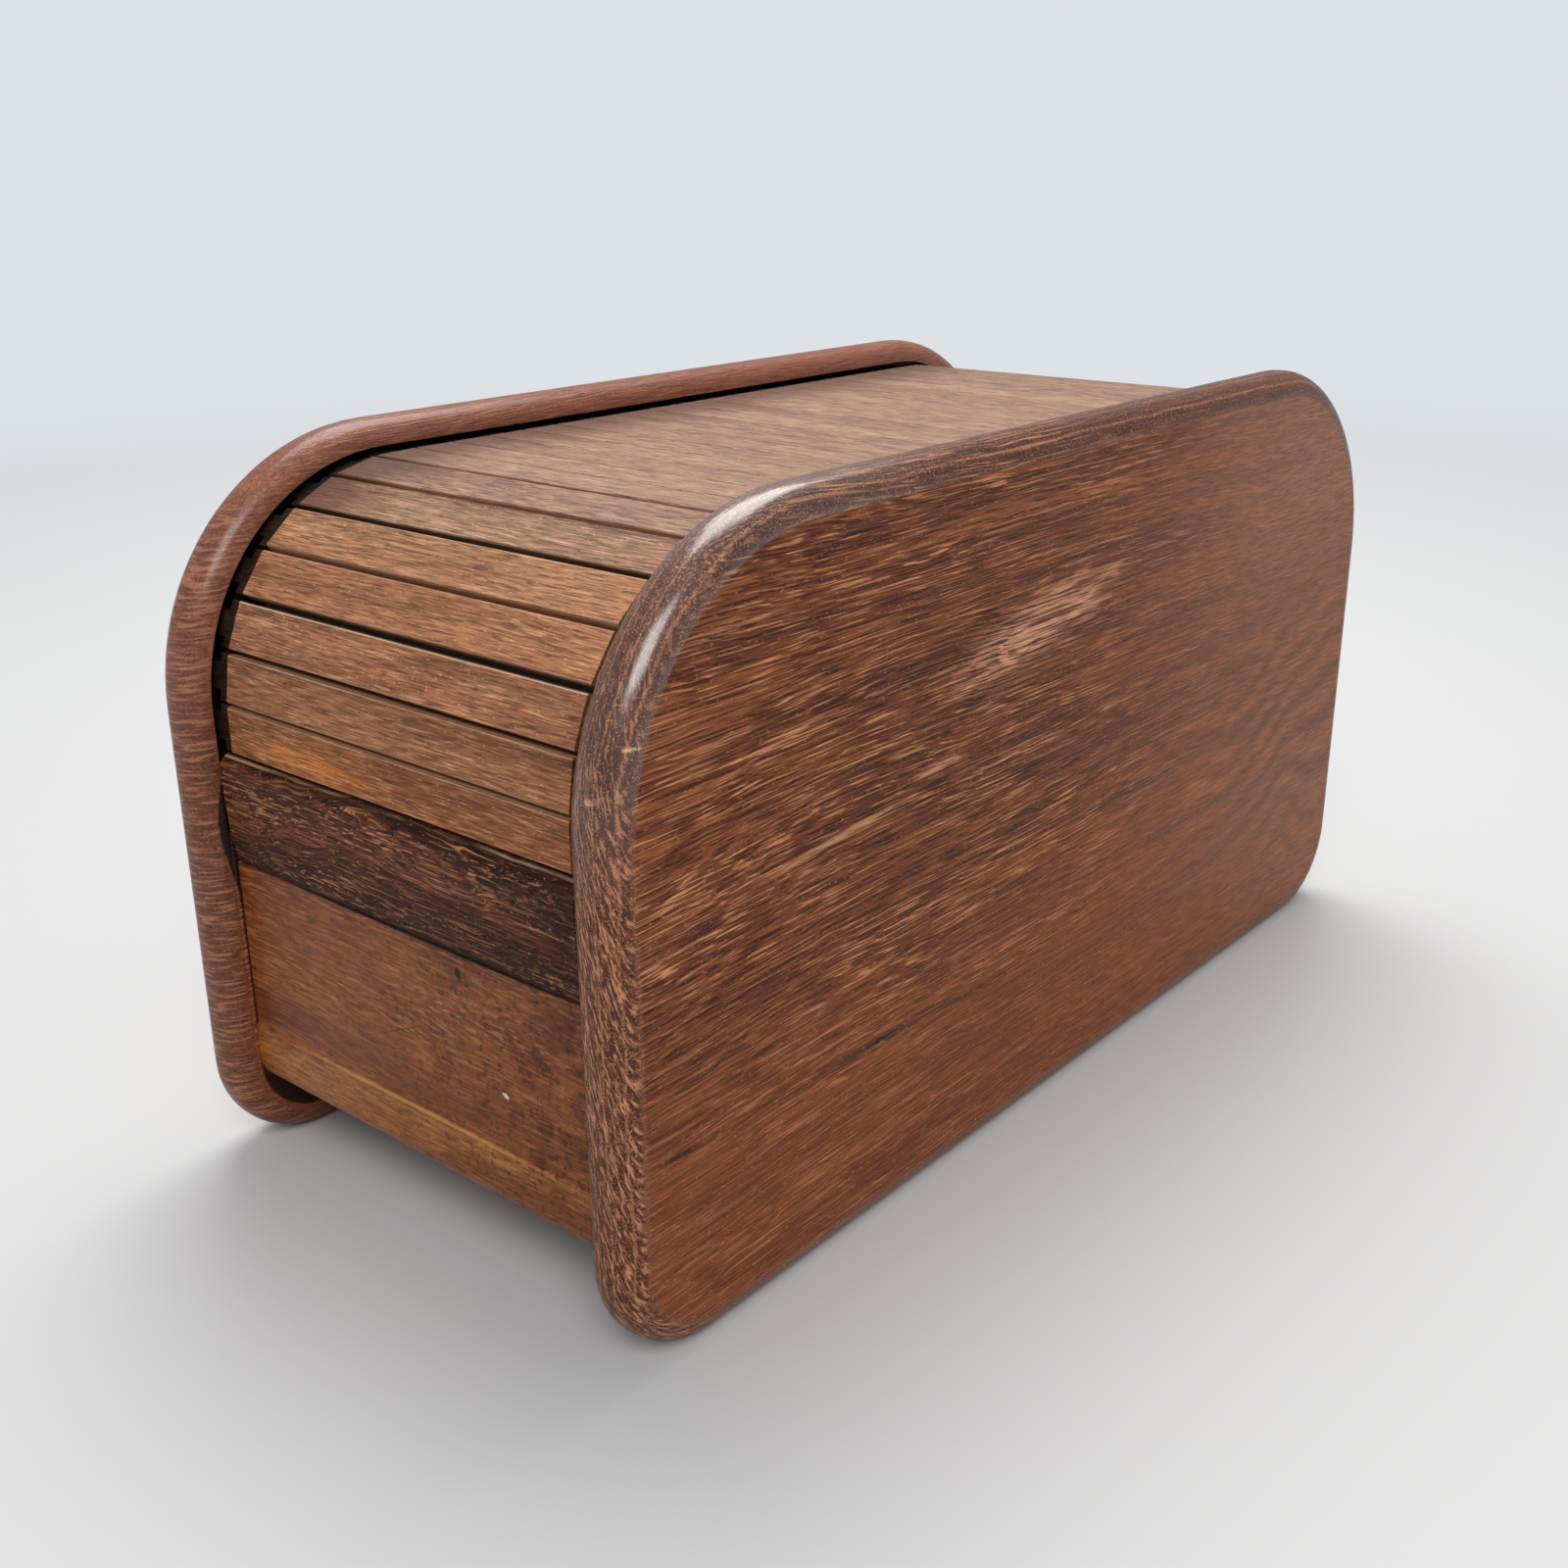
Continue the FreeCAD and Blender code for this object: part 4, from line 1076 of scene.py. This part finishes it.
# One strip of canvas behind a slat or the handle, in its local frame: X across the box.
def canvasStrip(name, body, centre, angle, low, high, material):
    mesh = bpy.data.meshes.new(name)
    bm = bmesh.new()
    layer = bm.loops.layers.uv.new("threads")
    bmesh.ops.create_grid(bm, x_segments=canvas["columns"], y_segments=1, size=0.5)
    bmesh.ops.scale(bm, vec=(canvas["width"], high - low, 1.0), verts=bm.verts)
    bmesh.ops.translate(bm, vec=(0.0, (low + high) / 2, -canvas["glue"]), verts=bm.verts)
    for face in bm.faces:
        for loop in face.loops:
            loop[layer].uv = loop.vert.co.xy
    back = bmesh.ops.extrude_face_region(bm, geom=bm.faces[:])["geom"]
    moved = [part for part in back if isinstance(part, bmesh.types.BMVert)]
    bmesh.ops.translate(bm, vec=(0.0, 0.0, -canvas["thickness"]), verts=moved)
    bmesh.ops.recalc_face_normals(bm, faces=bm.faces)
    seat = Matrix.Translation(centre) @ Matrix.Rotation(angle, 4, "X")
    bmesh.ops.transform(bm, matrix=seat, verts=bm.verts)
    bm.to_mesh(mesh)
    bm.free()
    strip = bpy.data.objects.new(name, mesh)
    bpy.context.scene.collection.objects.link(strip)
    mesh.materials.append(material)
    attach(strip, body)
    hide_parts("canvas_backing")
    return strip


def bodyOf(node):
    bodies = frame["record"]["behaviour"]["bodies"]
    return next(body for body, members in bodies.items() if node in members)


def layCanvas():
    material = canvasFinish()
    half = slatWood["halfWidth"]
    low, high = (Vector(corner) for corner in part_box("handle_bar"))
    halfHandle = (high.z - low.z) / 2
    inner = Vector((0.0, high.y, (low.z + high.z) / 2))
    places = {"handle_bar": (inner, math.pi / 2, canvas["handleHem"] - halfHandle, halfHandle)}
    for node in slatNodes:
        centre, angle = slatPlace(node)
        reach = canvas["wornReach"] if int(node[-2:]) == canvas["wornJointAfter"] else 0.0
        places[node] = (centre, angle, -half, half + reach)
    for node, (centre, angle, start, end) in places.items():
        strip = canvasStrip(f"canvas_{node}", bodyOf(node), centre, angle, start, end, material)
    return len(places)


print("canvas strips laid:", layCanvas())


def addLight(name, light):
    data = bpy.data.lights.new(name, "AREA")
    data.shape = "SQUARE"
    data.size = light["size"]
    data.energy = light["watts"]
    data.color = light["tint"]
    lamp = bpy.data.objects.new(name, data)
    lamp.location = light["place"]
    aim = Vector(studioAim) - lamp.location
    lamp.rotation_euler = aim.to_track_quat("-Z", "Y").to_euler()
    bpy.context.scene.collection.objects.link(lamp)


def addFloor():
    mesh = bpy.data.meshes.new("floor")
    bm = bmesh.new()
    sides = backdrop["floorSides"]
    bmesh.ops.create_circle(bm, cap_ends=True, segments=sides, radius=backdrop["floorRadius"])
    bm.to_mesh(mesh)
    bm.free()
    floor = bpy.data.objects.new("floor", mesh)
    bpy.context.scene.collection.objects.link(floor)
    material, tree, shader = newMaterial("pale floor")
    place = addNode(tree, "ShaderNodeTexCoord").outputs["Object"]
    cloud = noise(tree, place, scale=backdrop["cloudLumps"], detail=4.0)
    cloud = remap(tree, cloud, *backdrop["cloudLevels"], 0.0, backdrop["cloudAmount"])
    colour = blendColours(tree, cloud, paint(*backdrop["floor"]), paint(*backdrop["cloud"]))
    tree.links.new(colour, shader.inputs["Base Color"])
    shader.inputs["Roughness"].default_value = backdrop["roughness"]
    # the floor fades into the sky, so the horizon stays faint
    away = vectorCalc(tree, "LENGTH", place, result="Value")
    fade = remap(tree, away, backdrop["fadeFrom"], backdrop["fadeTo"], smooth=True)
    values = {"Color": paint(*backdrop["sky"]), "Strength": backdrop["seenStrength"]}
    glow = addNode(tree, "ShaderNodeEmission", values)
    both = addNode(tree, "ShaderNodeMixShader", {0: fade, 1: shader.outputs[0], 2: glow.outputs[0]})
    tree.links.new(both.outputs[0], tree.nodes["Material Output"].inputs["Surface"])
    mesh.materials.append(material)


def setWorld():
    world = bpy.data.worlds.new("soft room")
    bpy.context.scene.world = world
    world.use_nodes = True
    tree = world.node_tree
    sky = tree.nodes["Background"]
    sky.inputs["Color"].default_value = paint(*backdrop["sky"])
    isSeen = addNode(tree, "ShaderNodeLightPath").outputs["Is Camera Ray"]
    strength = between(tree, isSeen, backdrop["lightStrength"], backdrop["seenStrength"])
    tree.links.new(strength, sky.inputs["Strength"])
    bpy.context.scene.view_settings.view_transform = "Standard"


def placeCamera():
    data = bpy.data.cameras.new("camera")
    data.lens = camera["lens"]
    data.sensor_width = camera["sensor"]
    data.clip_start = camera["nearest"]
    eye = bpy.data.objects.new("camera", data)
    back = -Vector(camera["looks"]).normalized()
    right = Vector(camera["up"]).cross(back).normalized()
    up = back.cross(right)
    turn = Matrix((right, up, back)).transposed().to_4x4()
    eye.matrix_world = Matrix.Translation(camera["place"]) @ turn
    bpy.context.scene.collection.objects.link(eye)
    bpy.context.scene.camera = eye


for lightName, lightFacts in studio.items():
    addLight(lightName, lightFacts)
addFloor()
setWorld()
placeCamera()
print("studio and camera placed")
